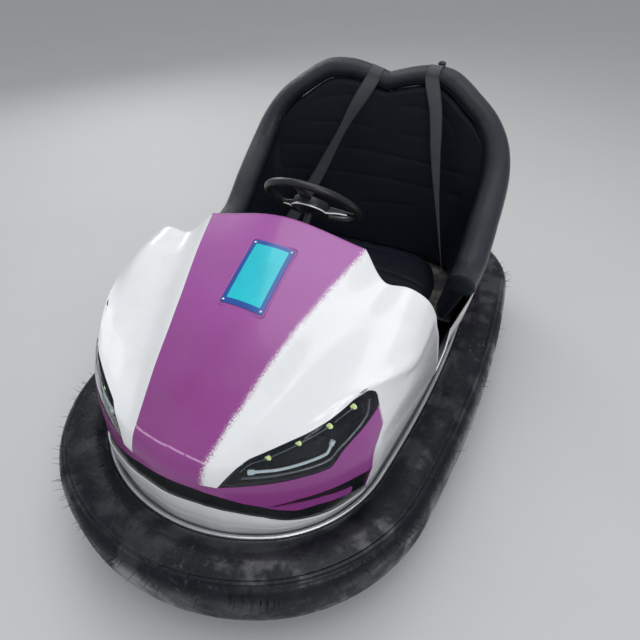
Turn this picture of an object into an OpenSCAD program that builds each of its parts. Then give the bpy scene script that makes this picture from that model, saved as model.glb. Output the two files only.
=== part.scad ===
// Two-seat battery bumper car: steel chassis in a rubber bumper ring, moulded front and rear bodies,
// a padded bench, and one steered and driven wheel ahead of two plain ones.
// The car faces -Y, its left side is +X, and the origin is on the ground under its middle.

/* [Bumper ring] */
// Half width of the bumper ring's centre line
ring_half_w = 520; // [500:5:540]
// Half length of the bumper ring's centre line
ring_half_l = 880; // [860:5:920]
// Angle of the front arc on either side of the centre line
front_arc = 30; // [26:1:34]
// Angle of the rear arc on either side of the centre line
rear_arc = 25; // [22:1:28]
// Radius of the gently curved sides
side_r = 4000; // [3400:100:5000]
// Height of the tyre's middle above the ground
tyre_z = 179; // [170:1:190]
// Reach of the tyre outside the ring's centre line
tyre_reach = 86; // [80:1:92]
// Half height of the tyre
tyre_half_h = 86; // [82:1:90]
// Depth of the rim channel inside the ring's centre line
rim_inset = 54; // [50:1:58]
// Height of the bright trim band
trim_h = 18; // [12:1:24]
// Width of the bright trim band
trim_w = 13; // [10:1:16]

/* [Chassis] */
// Height of the floor's upper face
floor_z = 118; // [114:1:122]
// Thickness of the floor sheet
floor_t = 4; // [3:0.5:6]
// Distance of the long rails from the centre line
rail_x = 240; // [220:5:260]
// Width and height of the rails
rail_size = 30; // [25:1:34]
// Height of the footwell bulkhead above the floor
toe_board_h = 402; // [380:2:420]
// Place of the bulkhead behind the steered wheel's axis
toe_board_back = 190; // [188:1:196]

/* [Body shells] */
// Thickness of the moulded shells
shell_t = 4; // [3:0.5:6]
// Inset of the shells' lower edge from the ring's centre line
base_inset = 76; // [74:1:80]
// Place of the joint between the front and rear bodies, ahead of the middle
sill_front = 60; // [40:5:80]
// Half width of the centre stripe at the cowl
stripe_half_w = 242; // [225:1:250]
// Height of the cowl at the centre line
cowl_z = 773; // [760:1:780]
// Height of the nose's lower edge at the centre line
chin_z = 397; // [390:1:402]
// Height of the lower lip's crest at the centre line
lip_z = 304; // [298:1:310]
// Width of the number plate
plate_w = 124; // [100:2:130]
// Length of the number plate
plate_l = 182; // [150:2:200]

/* [Steering] */
// Diameter of the steering wheel
wheel_d = 306; // [296:2:316]
// Thickness of the steering wheel's rim
wheel_rim_d = 22; // [20:1:26]
// Height of the steering wheel's centre
wheel_z = 745; // [735:1:755]
// Place of the steering wheel's centre ahead of the middle
wheel_front = 0; // [-10:1:10]
// Lean of the steering column from upright
column_tilt = 45; // [43:0.5:47]
// Diameter of the steering shaft
shaft_d = 24; // [20:1:28]

/* [Wheels] */
// Place of the steered wheel ahead of the middle
drive_front = 450; // [445:5:470]
// Diameter of the steered wheel
drive_d = 220; // [210:2:226]
// Width of the steered wheel
drive_w = 60; // [50:1:64]
// Place of the rear wheels behind the middle
rear_back = 500; // [480:5:520]
// Distance of the rear wheels from the centre line
rear_x = 330; // [320:5:340]
// Diameter of the rear wheels
rear_d = 200; // [190:2:210]
// Width of the rear wheels
rear_w = 50; // [40:1:56]
// Diameter of the wheel axles
axle_d = 20; // [16:1:24]

/* [Seat] */
// Height of the seat deck
deck_z = 322; // [316:1:326]
// Thickness of the seat cushion at its edge
cushion_t = 62; // [50:1:70]
// Extra height of the cushion's crown
cushion_crown = 14; // [8:1:20]
// Thickness of the backrest padding
back_pad_t = 42; // [36:1:48]
// Width of the belts
belt_w = 50; // [44:1:54]
// Height of the batteries
battery_h = 190; // [170:2:194]

/* [Hidden] */

fit = 0.05;          // radial running clearance of a shaft in its bore
seat_gap = 0.3;      // gap between pieces that rest on each other
run_gap = 5;         // least clearance of a moving piece
fine = 64;           // facets of small round pieces
black = "#17191c";
rubber = "#1c1d20";
white = "#f1f2f4";
steel = "#8d9298";

function unit(v) = v / norm(v);
function mix(a, b, t) = a + (b - a) * t;
function mirror_x(p) = [-p[0], p[1], p[2]];

// Ring plan: tangent arcs for the ends, the corners and the sides
front_corner = 83;
rear_corner = 82;
function arc_radii(t1, t2) =
  let (ra = ring_half_w - side_r * (1 - sin(t2)), rb = ring_half_l - side_r * cos(t2),
       ka = sin(t2) - sin(t1), kb = cos(t1) - cos(t2),
       det = sin(t1) * kb - ka * (1 - cos(t1)))
  [(ra * kb - ka * rb) / det, (sin(t1) * rb - (1 - cos(t1)) * ra) / det];
front_radii = arc_radii(front_arc, front_corner);
rear_radii = arc_radii(rear_arc, rear_corner);
function end_centre(r) = [0, r[0] - ring_half_l];
function corner_centre(r, t1) = end_centre(r) + (r[0] - r[1]) * [sin(t1), -cos(t1)];
side_centre = [ring_half_w - side_r, 0];
function flip_y(p) = [p[0], -p[1]];

// Point of the ring plan at an angle from straight ahead, moved in by an inset
function quarter_point(a, inset, r, t1, t2) =
  let (c = a < t1 ? end_centre(r) : a < t2 ? corner_centre(r, t1) : side_centre,
       radius = a < t1 ? r[0] : a < t2 ? r[1] : side_r)
  c + (radius - inset) * [sin(a), -cos(a)];
function ring_point(a, inset) = a <= 90
  ? quarter_point(a, inset, front_radii, front_arc, front_corner)
  : flip_y(quarter_point(180 - a, inset, rear_radii, rear_arc, rear_corner));
function ring_xyz(a, inset, z) = let (p = ring_point(a, inset)) [p[0], p[1], z];
// Plan outline through the angles at which the ring's pieces are faceted
half_angles = concat([for (a = [0:6:84]) a], [87, 90, 93], [for (a = [96:6:180]) a]);
ring_angles = concat([for (a = half_angles) a],
  [for (i = [len(half_angles) - 2:-1:1]) 360 - half_angles[i]]);
function full_point(a, inset) =
  a <= 180 ? ring_point(a, inset) : let (p = ring_point(360 - a, inset)) [-p[0], p[1]];
function plan_outline(inset) = [for (a = ring_angles) full_point(a, inset)];

// Smooth curve through points, with a corner kept at each listed index
function has(list, i) = len([for (k = list) if (k == i) 1]) > 0;
function knot_slope(p, i, side, sharp) =
  let (n = len(p) - 1)
  i == 0 ? (p[1] - p[0]) / max(norm(p[1] - p[0]), 0.001)
  : i == n ? (p[n] - p[n - 1]) / max(norm(p[n] - p[n - 1]), 0.001)
  : has(sharp, i) ? (side > 0 ? (p[i + 1] - p[i]) / max(norm(p[i + 1] - p[i]), 0.001)
                              : (p[i] - p[i - 1]) / max(norm(p[i] - p[i - 1]), 0.001))
  : (p[i + 1] - p[i - 1]) / max(norm(p[i + 1] - p[i]) + norm(p[i] - p[i - 1]), 0.001);
function curve_piece(p, i, t, sharp) =
  let (d = norm(p[i + 1] - p[i]), m0 = knot_slope(p, i, 1, sharp) * d,
       m1 = knot_slope(p, i + 1, -1, sharp) * d,
       t2 = t * t, t3 = t2 * t)
  p[i] * (2 * t3 - 3 * t2 + 1) + m0 * (t3 - 2 * t2 + t) + p[i + 1] * (3 * t2 - 2 * t3) + m1 * (t3 - t2);
function smooth(p, steps, sharp = []) = concat(
  [for (i = [0:len(p) - 2]) for (k = [0:steps - 1]) curve_piece(p, i, k / steps, sharp)],
  [p[len(p) - 1]]);

// Grid of points from ribs: each rib is smoothed, then the ribs are joined by smooth lines
function loft(ribs, rib_steps, cross_steps, sharp_knots, sharp_ribs) =
  let (fine_ribs = [for (r = ribs) smooth(r, rib_steps, sharp_knots)],
       rows = [for (k = [0:len(fine_ribs[0]) - 1])
                 smooth([for (r = fine_ribs) r[k]], cross_steps, sharp_ribs)])
  [for (j = [0:len(rows[0]) - 1]) [for (k = [0:len(rows) - 1]) rows[k][j]]];
function both_sides(half) = concat(
  [for (i = [len(half) - 1:-1:1]) [for (p = half[i]) mirror_x(p)]], half);
function normal_at(g, i, j) =
  let (n = len(g) - 1, m = len(g[0]) - 1,
       du = g[min(i + 1, n)][j] - g[max(i - 1, 0)][j],
       dv = g[i][min(j + 1, m)] - g[i][max(j - 1, 0)], c = cross(dv, du))
  norm(c) < 0.000001 ? [0, 0, 1] : unit(c);
function offset_grid(g, d) =
  [for (i = [0:len(g) - 1]) [for (j = [0:len(g[0]) - 1]) g[i][j] + d * normal_at(g, i, j)]];

// Offset grid that stays above a height, so that a shell's lower edge stands flat
function lifted(g, z) = [for (r = g) [for (p = r) [p[0], p[1], max(p[2], z)]]];

// Closed solid between two grids of the same size, the first on the side its normals point to
module grid_solid(top, under) {
  n = len(top);
  m = len(top[0]);
  pts = concat([for (r = top) for (p = r) p], [for (r = under) for (p = r) p]);
  function id(i, j, s) = s * n * m + i * m + j;
  quads = concat(
    [for (i = [0:n - 2]) for (j = [0:m - 2])
      [id(i, j, 0), id(i, j + 1, 0), id(i + 1, j + 1, 0), id(i + 1, j, 0)]],
    [for (i = [0:n - 2]) for (j = [0:m - 2])
      [id(i, j, 1), id(i + 1, j, 1), id(i + 1, j + 1, 1), id(i, j + 1, 1)]],
    [for (i = [0:n - 2]) [id(i, 0, 0), id(i + 1, 0, 0), id(i + 1, 0, 1), id(i, 0, 1)]],
    [for (i = [0:n - 2])
      [id(i + 1, m - 1, 0), id(i, m - 1, 0), id(i, m - 1, 1), id(i + 1, m - 1, 1)]],
    [for (j = [0:m - 2]) [id(0, j + 1, 0), id(0, j, 0), id(0, j, 1), id(0, j + 1, 1)]],
    [for (j = [0:m - 2])
      [id(n - 1, j, 0), id(n - 1, j + 1, 0), id(n - 1, j + 1, 1), id(n - 1, j, 1)]]);
  tris = [for (q = quads) for (t = [[q[2], q[1], q[0]], [q[3], q[2], q[0]]]) t];
  polyhedron(pts, tris, convexity = 10);
}

// Bumper ring
rim_t = 4;
rim_top = tyre_z + 45;
rim_bottom = floor_z - floor_t - rim_t;
rim_depth = 36;
// Tyre section: reach as a share of the outside reach, rise as a share of the half height
tyre_crown = [
  [-0.50, 0.84], [-0.26, 0.95], [0.06, 1.00], [0.38, 0.99], [0.57, 0.945], [0.62, 0.97],
  [0.69, 0.955], [0.73, 0.89], [0.83, 0.84], [0.93, 0.70], [0.985, 0.50], [1.00, 0.22]
];
module bumper_tyre() {
  upper = [for (p = tyre_crown) [p[0] * tyre_reach, tyre_z + p[1] * tyre_half_h]];
  lower = [for (i = [len(upper) - 1:-1:0]) [upper[i][0], 2 * tyre_z - upper[i][1]]];
  seat = [[-rim_inset, tyre_z - 0.68 * tyre_half_h], [-rim_inset, tyre_z + 0.68 * tyre_half_h]];
  section = concat(seat, upper, lower);
  n = len(ring_angles);
  m = len(section);
  pts = [for (a = ring_angles) for (p = section) let (q = full_point(a, -p[0])) [q[0], q[1], p[1]]];
  faces = [for (i = [0:n - 1]) for (k = [0:m - 1])
    let (i2 = (i + 1) % n, k2 = (k + 1) % m)
    for (t = [[i * m + k, i2 * m + k2, i * m + k2], [i * m + k, i2 * m + k, i2 * m + k2]]) t];
  color(rubber) polyhedron(pts, faces, convexity = 10);
}
module plan_band(outer, width, low, high) {
  translate([0, 0, low]) linear_extrude(high - low) difference() {
    polygon(plan_outline(outer));
    polygon(plan_outline(outer + width));
  }
}
module bumper_rim() {
  color(steel) {
    plan_band(rim_inset, rim_t, rim_bottom, rim_top);
    plan_band(rim_inset + 1, rim_depth - 1, rim_top - rim_t, rim_top);
    plan_band(rim_inset + 1, rim_depth - 1, rim_bottom, rim_bottom + rim_t);
  }
}
module trim_band() {
  bevel = 3;
  color("silver") {
    plan_band(rim_inset, trim_w, rim_top, rim_top + trim_h - bevel);
    plan_band(rim_inset + bevel, trim_w - 2 * bevel, rim_top + trim_h - bevel - 1, rim_top + trim_h);
  }
}

// Floor, rails and bulkhead
pan_inset = rim_inset + rim_t + seat_gap;
opening_r = 150;
wheel_well = [rear_d + 30, rear_w + 50];
module floor_pan() {
  wall_inset = rim_inset + rim_depth + seat_gap;
  color("#2b2d30") difference() {
    union() {
      translate([0, 0, floor_z - floor_t]) linear_extrude(floor_t) polygon(plan_outline(pan_inset));
      translate([0, 0, floor_z - floor_t]) linear_extrude(rim_top - floor_z) difference() {
        polygon(plan_outline(wall_inset));
        polygon(plan_outline(wall_inset + 3));
      }
    }
    translate([0, -drive_front, floor_z - floor_t - 1]) cylinder(r = opening_r, h = floor_t + 2, $fn = 96);
    for (side = [-1, 1])
      translate([side * wheel_x, rear_back, floor_z])
        cube([wheel_well[1], wheel_well[0], 3 * floor_t], center = true);
  }
}
rail_reach = 240;
module chassis_rails() {
  rail_z = floor_z - floor_t - rail_size;
  rail_l = 2 * (drive_front + rail_reach);
  cross_l = 2 * rail_x - rail_size;
  color(steel) for (side = [-1, 1])
    translate([side * rail_x - rail_size / 2, -rail_l / 2, rail_z]) cube([rail_size, rail_l, rail_size]);
  color(steel) for (y = [-drive_front - 200, -drive_front + 180, rear_back - 160, rear_back + 140])
    translate([-cross_l / 2, y, rail_z]) cube([cross_l, rail_size, rail_size]);
}
toe_y = toe_board_back - drive_front;
toe_t = 4;
toe_half_w = 320;
module toe_board() {
  color(black) difference() {
    translate([-toe_half_w, toe_y - toe_t, floor_z]) cube([2 * toe_half_w, toe_t, toe_board_h]);
    on_column() translate([0, 0, -500]) cylinder(d = shaft_d + 2 * run_gap + 6, h = 400, $fn = fine);
  }
}

// Front body: ribs from the cowl down to the base
// rib columns: base angle, then [x, y behind the ring's front end, z] at the cowl, the upper hood
// and the lower hood, then [inset from the ring, z] at the brow, the lamp, the chin, the lip, the base
drawn_half_w = 520;
side_tie = ring_half_w - drawn_half_w;
wheel_x = rear_x + side_tie;
function at(x, back, z) = [x + (x > stripe_half_w + 10 ? side_tie : 0), back - ring_half_l, z];
front_ribs = [
  [0,    [0, 702, cowl_z],  [0, 540, 708], [0, 320, 598],
         [118, 470], [90, 432], [80, chin_z], [70, lip_z]],
  [12.5, [stripe_half_w, 700, 733], [206, 550, 682], [155, 330, 582],
         [112, 463], [89, 427], [80, chin_z - 10], [70, lip_z - 2]],
  [18,   [312, 661, 675], [276, 530, 645], [215, 320, 550],
         [108, 458], [88, 422], [79, chin_z - 20], [69, lip_z - 6]],
  [34,   [382, 656, 679], [384, 520, 648], [346, 372, 584],
         [102, 503], [82, 424], [73, chin_z - 62], [64, lip_z - 22]],
  [52,   [430, 658, 657], [434, 545, 630], [402, 424, 598],
         [106, 546], [72, 444], [64, chin_z - 86], [66, lip_z - 36]],
  [70,   [452, 672, 610], [456, 580, 600], [446, 470, 590],
         [100, 576], [54, 460], [54, chin_z - 94], [64, lip_z - 34]],
  [76,   [457, 688, 562], [460, 612, 556], [457, 528, 546],
         [74, 530], [50, 428], [54, chin_z - 88], [64, lip_z - 30]],
  [81,   [460, 722, 500], [462, 660, 490], [462, 600, 470],
         [54, 440], [50, 390], [54, chin_z - 78], [64, lip_z - 24]],
  [88,   [457, 800, 330], [457, 790, 324], [457, 780, 318],
         [62, 308], [62, 298], [64, 286], [68, 272]]
];
function rib_points(r) = concat(
  [for (i = [1:3]) at(r[i][0], r[i][1], r[i][2])],
  [for (i = [4:7]) ring_xyz(r[0], r[i][0], r[i][1])],
  [ring_xyz(r[0], base_inset, rim_top)]);
sill_angle = 90 - asin(sill_front / side_r);
end_rib = [for (k = [0:7])
  mix(ring_xyz(sill_angle, 64, 268), ring_xyz(sill_angle, base_inset, rim_top), k / 7)];
front_grid = loft(
  both_sides(concat([for (r = front_ribs) rib_points(r)], [end_rib])), 3, 3, [5], [8, 10]);
module front_skin(outside, inside) {
  grid_solid(lifted(offset_grid(front_grid, outside), rim_top),
    lifted(offset_grid(front_grid, -inside), rim_top));
}

// Outline of the left headlamp in front view: x, z
lamp_outline = [
  [139, 407], [162, 442], [189, 476], [225, 499], [276, 528], [318, 549], [355, 570], [374, 585], [387, 592],
  [404, 579], [417, 534], [407, 519], [391, 500], [377, 480], [366, 454], [358, 445], [320, 439], [252, 428],
  [179, 413]
];
// Outline of the mouth's left half in front view: x, z
mouth_outline = [
  [0, lip_z + 30], [93, lip_z + 29], [132, lip_z + 27], [167, lip_z + 21], [237, lip_z + 8],
  [285, lip_z - 11], [350, lip_z - 34], [410, lip_z - 54], [418, 300], [428, 370], [400, 372], [355, 372],
  [305, chin_z - 31], [279, chin_z - 39], [240, chin_z - 48], [192, chin_z - 36], [141, chin_z - 17],
  [98, chin_z - 9], [0, chin_z]
];
// Fin that reaches from the nose's lower edge into the mouth's outer corner: x, z
fin_outline = [
  [215, 358], [262, 346], [289, 350], [355, 348], [398, 333], [395, 315], [343, 328], [302, 324], [262, 338]
];
module front_cut(points, grow = 0) {
  translate([0, -ring_half_l + 420, 0]) rotate([90, 0, 0])
    linear_extrude(ring_half_l) offset(delta = grow) polygon(points);
}
module lamp_cut(shrink = 0) {
  front_cut(lamp_outline, -shrink);
}
module on_side(side) {
  if (side < 0) mirror([1, 0, 0]) children();
  else children();
}
module mouth(grow = 0) {
  front_cut(concat(mouth_outline,
    [for (i = [len(mouth_outline) - 2:-1:1]) [-mouth_outline[i][0], mouth_outline[i][1]]]), grow);
}
module front_body() {
  color(white) difference() {
    front_skin(0, shell_t);
    for (side = [-1, 1]) on_side(side) lamp_cut();
    difference() {
      mouth();
      for (side = [-1, 1]) on_side(side) front_cut(fin_outline);
    }
  }
}
module grille_panel() {
  color(black) intersection() {
    front_skin(-shell_t - seat_gap, shell_t + seat_gap + 3);
    mouth(12);
  }
}
lens_t = 5;
lamp_depth = 46;
lamp_wall = 8;
// The lamps fill the part of the front grid between the second and the sixth rib, from the brow down
lamp_grid = let (mid = (len(front_grid) - 1) / 2)
  [for (i = [mid + 3:mid + 18]) [for (j = [8:16]) front_grid[i][j]]];
// The lamp's grid moved straight back into the body
function sunk(depth) = [for (r = lamp_grid) [for (p = r) p + [0, depth, 0]]];
module lamp_piece(front, back, inset) {
  intersection() {
    grid_solid(sunk(front), sunk(back));
    lamp_cut(inset);
  }
}
module headlamp_lens(side) {
  color("#b9c4cc", 0.5) on_side(side) lamp_piece(0, lens_t, seat_gap);
}
module headlamp_housing(side) {
  color(black) on_side(side) difference() {
    lamp_piece(lens_t + seat_gap, lamp_depth, seat_gap);
    lamp_piece(0, lamp_depth - lamp_wall, lamp_wall);
  }
}
plate_back = 525;
plate_x = 20;
module number_plate() {
  color("#18c4cf") intersection() {
    front_skin(2.8, -seat_gap);
    translate([plate_x - plate_w / 2, plate_back - plate_l / 2 - ring_half_l, 500]) cube([plate_w, plate_l, 400]);
  }
}

// Steering column: origin at the wheel's centre, +Z along the column towards the driver
module on_column() {
  translate([0, -wheel_front, wheel_z]) rotate([-column_tilt, 0, 0]) children();
}
joint_drop = (drive_front - wheel_front) / sin(column_tilt);
joint_z = wheel_z - joint_drop * cos(column_tilt);
ball_r = 16;
hub_drop = 34;
mount_drop = 225;
mount_l = 60;
module steering_shaft() {
  color(steel) on_column() {
    translate([0, 0, -joint_drop]) cylinder(d = shaft_d, h = joint_drop - hub_drop, $fn = fine);
    translate([0, 0, -joint_drop]) sphere(r = ball_r, $fn = fine);
  }
}
rim_r = (wheel_d - wheel_rim_d) / 2;
module rim_torus(grow = 0) {
  rotate_extrude($fn = 96) translate([rim_r, -6]) circle(d = wheel_rim_d + 2 * grow, $fn = 32);
}
module steering_hub() {
  hub_r = 34;
  color(black) on_column() difference() {
    union() {
      translate([0, 0, -hub_drop]) cylinder(r = 20, h = 16, $fn = fine);
      translate([0, 0, -hub_drop + 16]) cylinder(r1 = 30, r2 = hub_r + 14, h = 14, $fn = fine);
      for (a = [20, 160, 270]) rotate([0, 0, a])
        translate([20, -13, -hub_drop + 22]) cube([rim_r - 20, 26, 5]);
    }
    rim_torus(seat_gap);
  }
}
module steering_rim() {
  color(black) on_column() rim_torus();
}
module column_mount() {
  plate_h = 90;
  gusset_top = toe_board_h + floor_z;
  color(steel) difference() {
    union() {
      on_column() translate([0, 0, -mount_drop - mount_l])
        cylinder(d = shaft_d + 20, h = mount_l, $fn = fine);
      translate([-50, toe_y, gusset_top - plate_h]) cube([100, 5, plate_h]);
      translate([-4, 0, 0]) rotate([90, 0, 90]) linear_extrude(8) polygon([
        [toe_y + 4, gusset_top - plate_h], [toe_y + 4, gusset_top], [toe_y + 6, gusset_top + 14],
        [toe_y + 46, gusset_top + 54], [toe_y + 56, gusset_top + 32]]);
    }
    on_column() translate([0, 0, -joint_drop]) cylinder(d = shaft_d + 2 * fit, h = joint_drop, $fn = fine);
  }
}
module accelerator_pedal() {
  color(steel) translate([-130, toe_y + 60, floor_z]) {
    cube([80, 30, 14]);
    translate([0, 8, 10]) rotate([58, 0, 0]) cube([80, 150, 8]);
  }
}

// Steered and driven wheel
plate_t = 8;
ledge_t = 8;
turn_r = opening_r + 14;
plate_z = floor_z + ledge_t + seat_gap;
cheek_t = 8;
cheek_in = drive_w / 2 + run_gap + 2;
bridge_z = drive_d + 12;
well = [2 * (cheek_in + cheek_t), drive_d + 20];
module turntable_ring() {
  color(steel) translate([0, -drive_front, floor_z]) difference() {
    cylinder(r = opening_r + 34, h = ledge_t + plate_t, $fn = 96);
    translate([0, 0, -1]) cylinder(r = opening_r - 6, h = 30, $fn = 96);
    translate([0, 0, ledge_t]) cylinder(r = turn_r + run_gap, h = 30, $fn = 96);
  }
}
module turntable_plate() {
  color("#5c6066") translate([0, -drive_front, plate_z]) difference() {
    cylinder(r = turn_r, h = plate_t, $fn = 96);
    translate([0, 0, plate_t / 2]) cube([well[0], well[1], 3 * plate_t], center = true);
  }
}
module drive_fork() {
  axle_z = drive_d / 2;
  cheek_l = 90;
  color("#5c6066") translate([0, -drive_front, 0]) difference() {
    union() {
      for (side = [-1, 1])
        translate([side > 0 ? cheek_in : -cheek_in - cheek_t, -cheek_l / 2, axle_z - 30])
          cube([cheek_t, cheek_l, bridge_z - axle_z + 30]);
      for (side = [-1, 1])
        translate([side > 0 ? cheek_in : -cheek_in - cheek_t, -well[1] / 2, plate_z])
          cube([cheek_t, well[1], plate_t]);
      translate([-cheek_in - cheek_t, -cheek_l / 2, bridge_z]) cube([well[0], cheek_l, 10]);
      translate([0, 0, bridge_z + 9]) cylinder(r = 26, h = joint_z - bridge_z - 11, $fn = fine);
    }
    translate([-200, 0, axle_z]) rotate([0, 90, 0]) cylinder(d = axle_d + 2 * fit, h = 400, $fn = fine);
    translate([0, 0, joint_z]) sphere(r = ball_r + seat_gap, $fn = fine);
  }
}
motor_d = 96;
module drive_motor() {
  motor_l = 92;
  color("#3a3d42") translate([cheek_in + cheek_t, -drive_front, plate_z + plate_t + motor_d / 2])
    rotate([0, 90, 0]) {
      cylinder(d = motor_d, h = motor_l, $fn = fine);
    }
}
module wheel_hub(d, w, gap) {
  rotate([0, 90, 0]) {
    translate([0, 0, -w / 2 - gap - 14]) cylinder(d = axle_d, h = w + 2 * gap + 28, $fn = fine);
    translate([0, 0, -w / 2 - gap + 1]) cylinder(d = axle_d + 16, h = w + 2 * gap - 2, $fn = fine);
    translate([0, 0, -6]) cylinder(d = d * 0.62, h = 12, $fn = fine);
    difference() {
      translate([0, 0, -w / 2 + 4]) cylinder(d = d * 0.62, h = w - 8, $fn = fine);
      translate([0, 0, -w / 2]) cylinder(d = d * 0.62 - 12, h = w, $fn = fine);
    }
  }
}
module wheel_tyre(d, w) {
  shoulder = 8;
  rotate([0, 90, 0]) rotate_extrude($fn = 96) polygon([
    [d * 0.31 + 0.05, -w / 2 + 4], [d * 0.34, -w / 2], [d / 2 - shoulder, -w / 2], [d / 2, -w / 2 + shoulder],
    [d / 2, w / 2 - shoulder], [d / 2 - shoulder, w / 2], [d * 0.34, w / 2], [d * 0.31 + 0.05, w / 2 - 4]]);
}
module drive_hub() {
  color("silver") translate([0, -drive_front, drive_d / 2]) wheel_hub(drive_d, drive_w, run_gap + 2);
}
module drive_tyre() {
  color(rubber) translate([0, -drive_front, drive_d / 2]) wheel_tyre(drive_d, drive_w);
}

// Rear wheels
module rear_bracket(side) {
  gap = run_gap + 2;
  inner = rear_w / 2 + gap;
  top_z = rear_d + 14;
  foot = 16;
  color(steel) translate([side * wheel_x, rear_back, 0]) difference() {
    union() {
      for (s = [-1, 1]) {
        translate([s > 0 ? inner : -inner - 6, -32, rear_d / 2 - 24]) cube([6, 64, top_z - rear_d / 2 + 24]);
        translate([s > 0 ? inner : -inner - foot, -70, floor_z]) cube([foot, 140, 6]);
      }
      translate([-inner - 6, -32, top_z]) cube([2 * inner + 12, 64, 6]);
    }
    translate([-200, 0, rear_d / 2]) rotate([0, 90, 0]) cylinder(d = axle_d + 2 * fit, h = 400, $fn = fine);
  }
}
module rear_hub(side) {
  color("silver") translate([side * wheel_x, rear_back, rear_d / 2]) wheel_hub(rear_d, rear_w, run_gap + 2);
}
module rear_tyre(side) {
  color(rubber) translate([side * wheel_x, rear_back, rear_d / 2]) wheel_tyre(rear_d, rear_w);
}

// Padded roll round the seat: x, y ahead of the ring's rear end, z, radius
roll_table = [
  [455, 760, 490, 46], [458, 665, 512, 48], [456, 550, 610, 48], [450, 435, 712, 45],
  [428, 380, 790, 41], [384, 350, 858, 37], [322, 328, 910, 35], [228, 294, 966, 34],
  [150, 278, 972, 33], [87, 274, 962, 32], [0, 272, 938, 32]
];
roll_knots = [for (r = roll_table)
  [r[0] + (r[0] > 300 ? side_tie : 0), ring_half_l - r[1], r[2], r[3]]];
roll_half = smooth(roll_knots, 2);
roll_n = len(roll_half) - 1;
function xyz(p) = [p[0], p[1], p[2]];
function roll_dir(i) = i == roll_n ? [-1, 0, 0]
  : unit(xyz(roll_half[min(i + 1, roll_n)]) - xyz(roll_half[max(i - 1, 0)]));
function roll_down(i) = let (t = roll_dir(i), d = [0, 0, -1] + t[2] * t) unit(d);
function roll_out(i) = cross(roll_down(i), roll_dir(i));
// Point at the roll's own scale: down towards the seat panel and out from the cockpit
function by_roll(i, down, out) = xyz(roll_half[i]) + down * roll_down(i) + out * roll_out(i);
roll_sides = 12;
roll_flat = 0.86;
function roll_ring(i) = let (r = roll_half[i][3])
  [for (k = [0:roll_sides - 1]) let (a = 360 * k / roll_sides, d = r * cos(a))
    by_roll(i, min(d, roll_flat * r), r * sin(a))];
function tube_rings(half) = concat(
  [for (i = [0:len(half) - 1]) half[i]],
  [for (i = [len(half) - 2:-1:0]) [for (k = [0:roll_sides - 1])
    mirror_x(half[i][k])]]);
module tube_solid(rings) {
  n = len(rings);
  m = len(rings[0]);
  pts = [for (r = rings) for (p = r) p];
  walls = [for (i = [0:n - 2]) for (k = [0:m - 1]) let (k2 = (k + 1) % m)
    for (t = [[i * m + k, (i + 1) * m + k2, (i + 1) * m + k], [i * m + k, i * m + k2, (i + 1) * m + k2]]) t];
  caps = [[for (k = [m - 1:-1:0]) k], [for (k = [0:m - 1]) (n - 1) * m + k]];
  polyhedron(pts, concat(walls, caps), convexity = 10);
}
module seat_roll() {
  color(black) tube_solid(tube_rings([for (i = [0:roll_n]) roll_ring(i)]));
}

tub_half_w = 410;
// Seat tub below the roll: the lower line's x and y ahead of the ring's rear end, for each roll row
tub_floor = [
  [tub_half_w, 735], [tub_half_w, 650], [tub_half_w - 2, 570], [tub_half_w - 10, 505], [384, 450],
  [356, 418], [318, 400], [236, 388], [150, 382], [87, 380], [0, 380]
];
tub_line = smooth([for (p = tub_floor)
  [p[0] + (p[0] > 300 ? side_tie : 0), ring_half_l - p[1], deck_z + seat_gap]], 2);
tub_rows = 4;
tub_out = 6;
under_roll = 1.6;
under_slope = 0.12;
// Place just under the roll's flat underside, a depth inside the tub's own skin
function roll_seat(i, depth) =
  by_roll(i, roll_flat * roll_half[i][3] + under_roll + under_slope * max(depth, 0), tub_out - depth);
tub_half = [for (i = [roll_n:-1:0]) [for (k = [0:tub_rows]) mix(roll_seat(i, 0), tub_line[i], k / tub_rows)]];
// Tub skin at a depth, its top row kept flat under the roll
function tub_skin(depth) =
  let (g = lifted(offset_grid(both_sides(tub_half), depth), deck_z + seat_gap),
       edge = both_sides([for (i = [roll_n:-1:0]) [roll_seat(i, depth)]]))
  [for (i = [0:len(g) - 1]) concat(edge[i], [for (k = [1:tub_rows]) g[i][k]])];
tub_t = 6;
module seat_back() {
  color(black) grid_solid(tub_skin(back_pad_t), tub_skin(seat_gap));
}
module seat_shell() {
  color("#2b2d30") grid_solid(tub_skin(0), tub_skin(-tub_t));
}

// Seat deck and cushion
deck_front = ring_half_l - 740;
deck_back = ring_half_l - 370;
deck_t = 6;
deck_inset = 80;
riser_y = deck_front + 45;
riser_half_w = ring_half_w - 138;
module seat_frame() {
  wall = 4;
  color(black) {
    translate([0, 0, deck_z - deck_t]) linear_extrude(deck_t) intersection() {
      polygon(plan_outline(deck_inset));
      translate([-ring_half_w, deck_front]) square([2 * ring_half_w, deck_back - deck_front]);
    }
    translate([-riser_half_w, riser_y, floor_z])
      cube([2 * riser_half_w, wall, deck_z - deck_t - floor_z + 1]);
    for (side = [-1, 1])
      translate([side > 0 ? riser_half_w - wall : -riser_half_w, riser_y, floor_z])
        cube([wall, deck_back - riser_y - 30, deck_z - deck_t - floor_z + 1]);
  }
}
cushion_half_w = tub_half_w - back_pad_t - 14 + side_tie;
cushion_front = deck_front + 12;
cushion_back = ring_half_l - 380 - back_pad_t - 10;
cushion_taper = 0.14;
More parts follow.
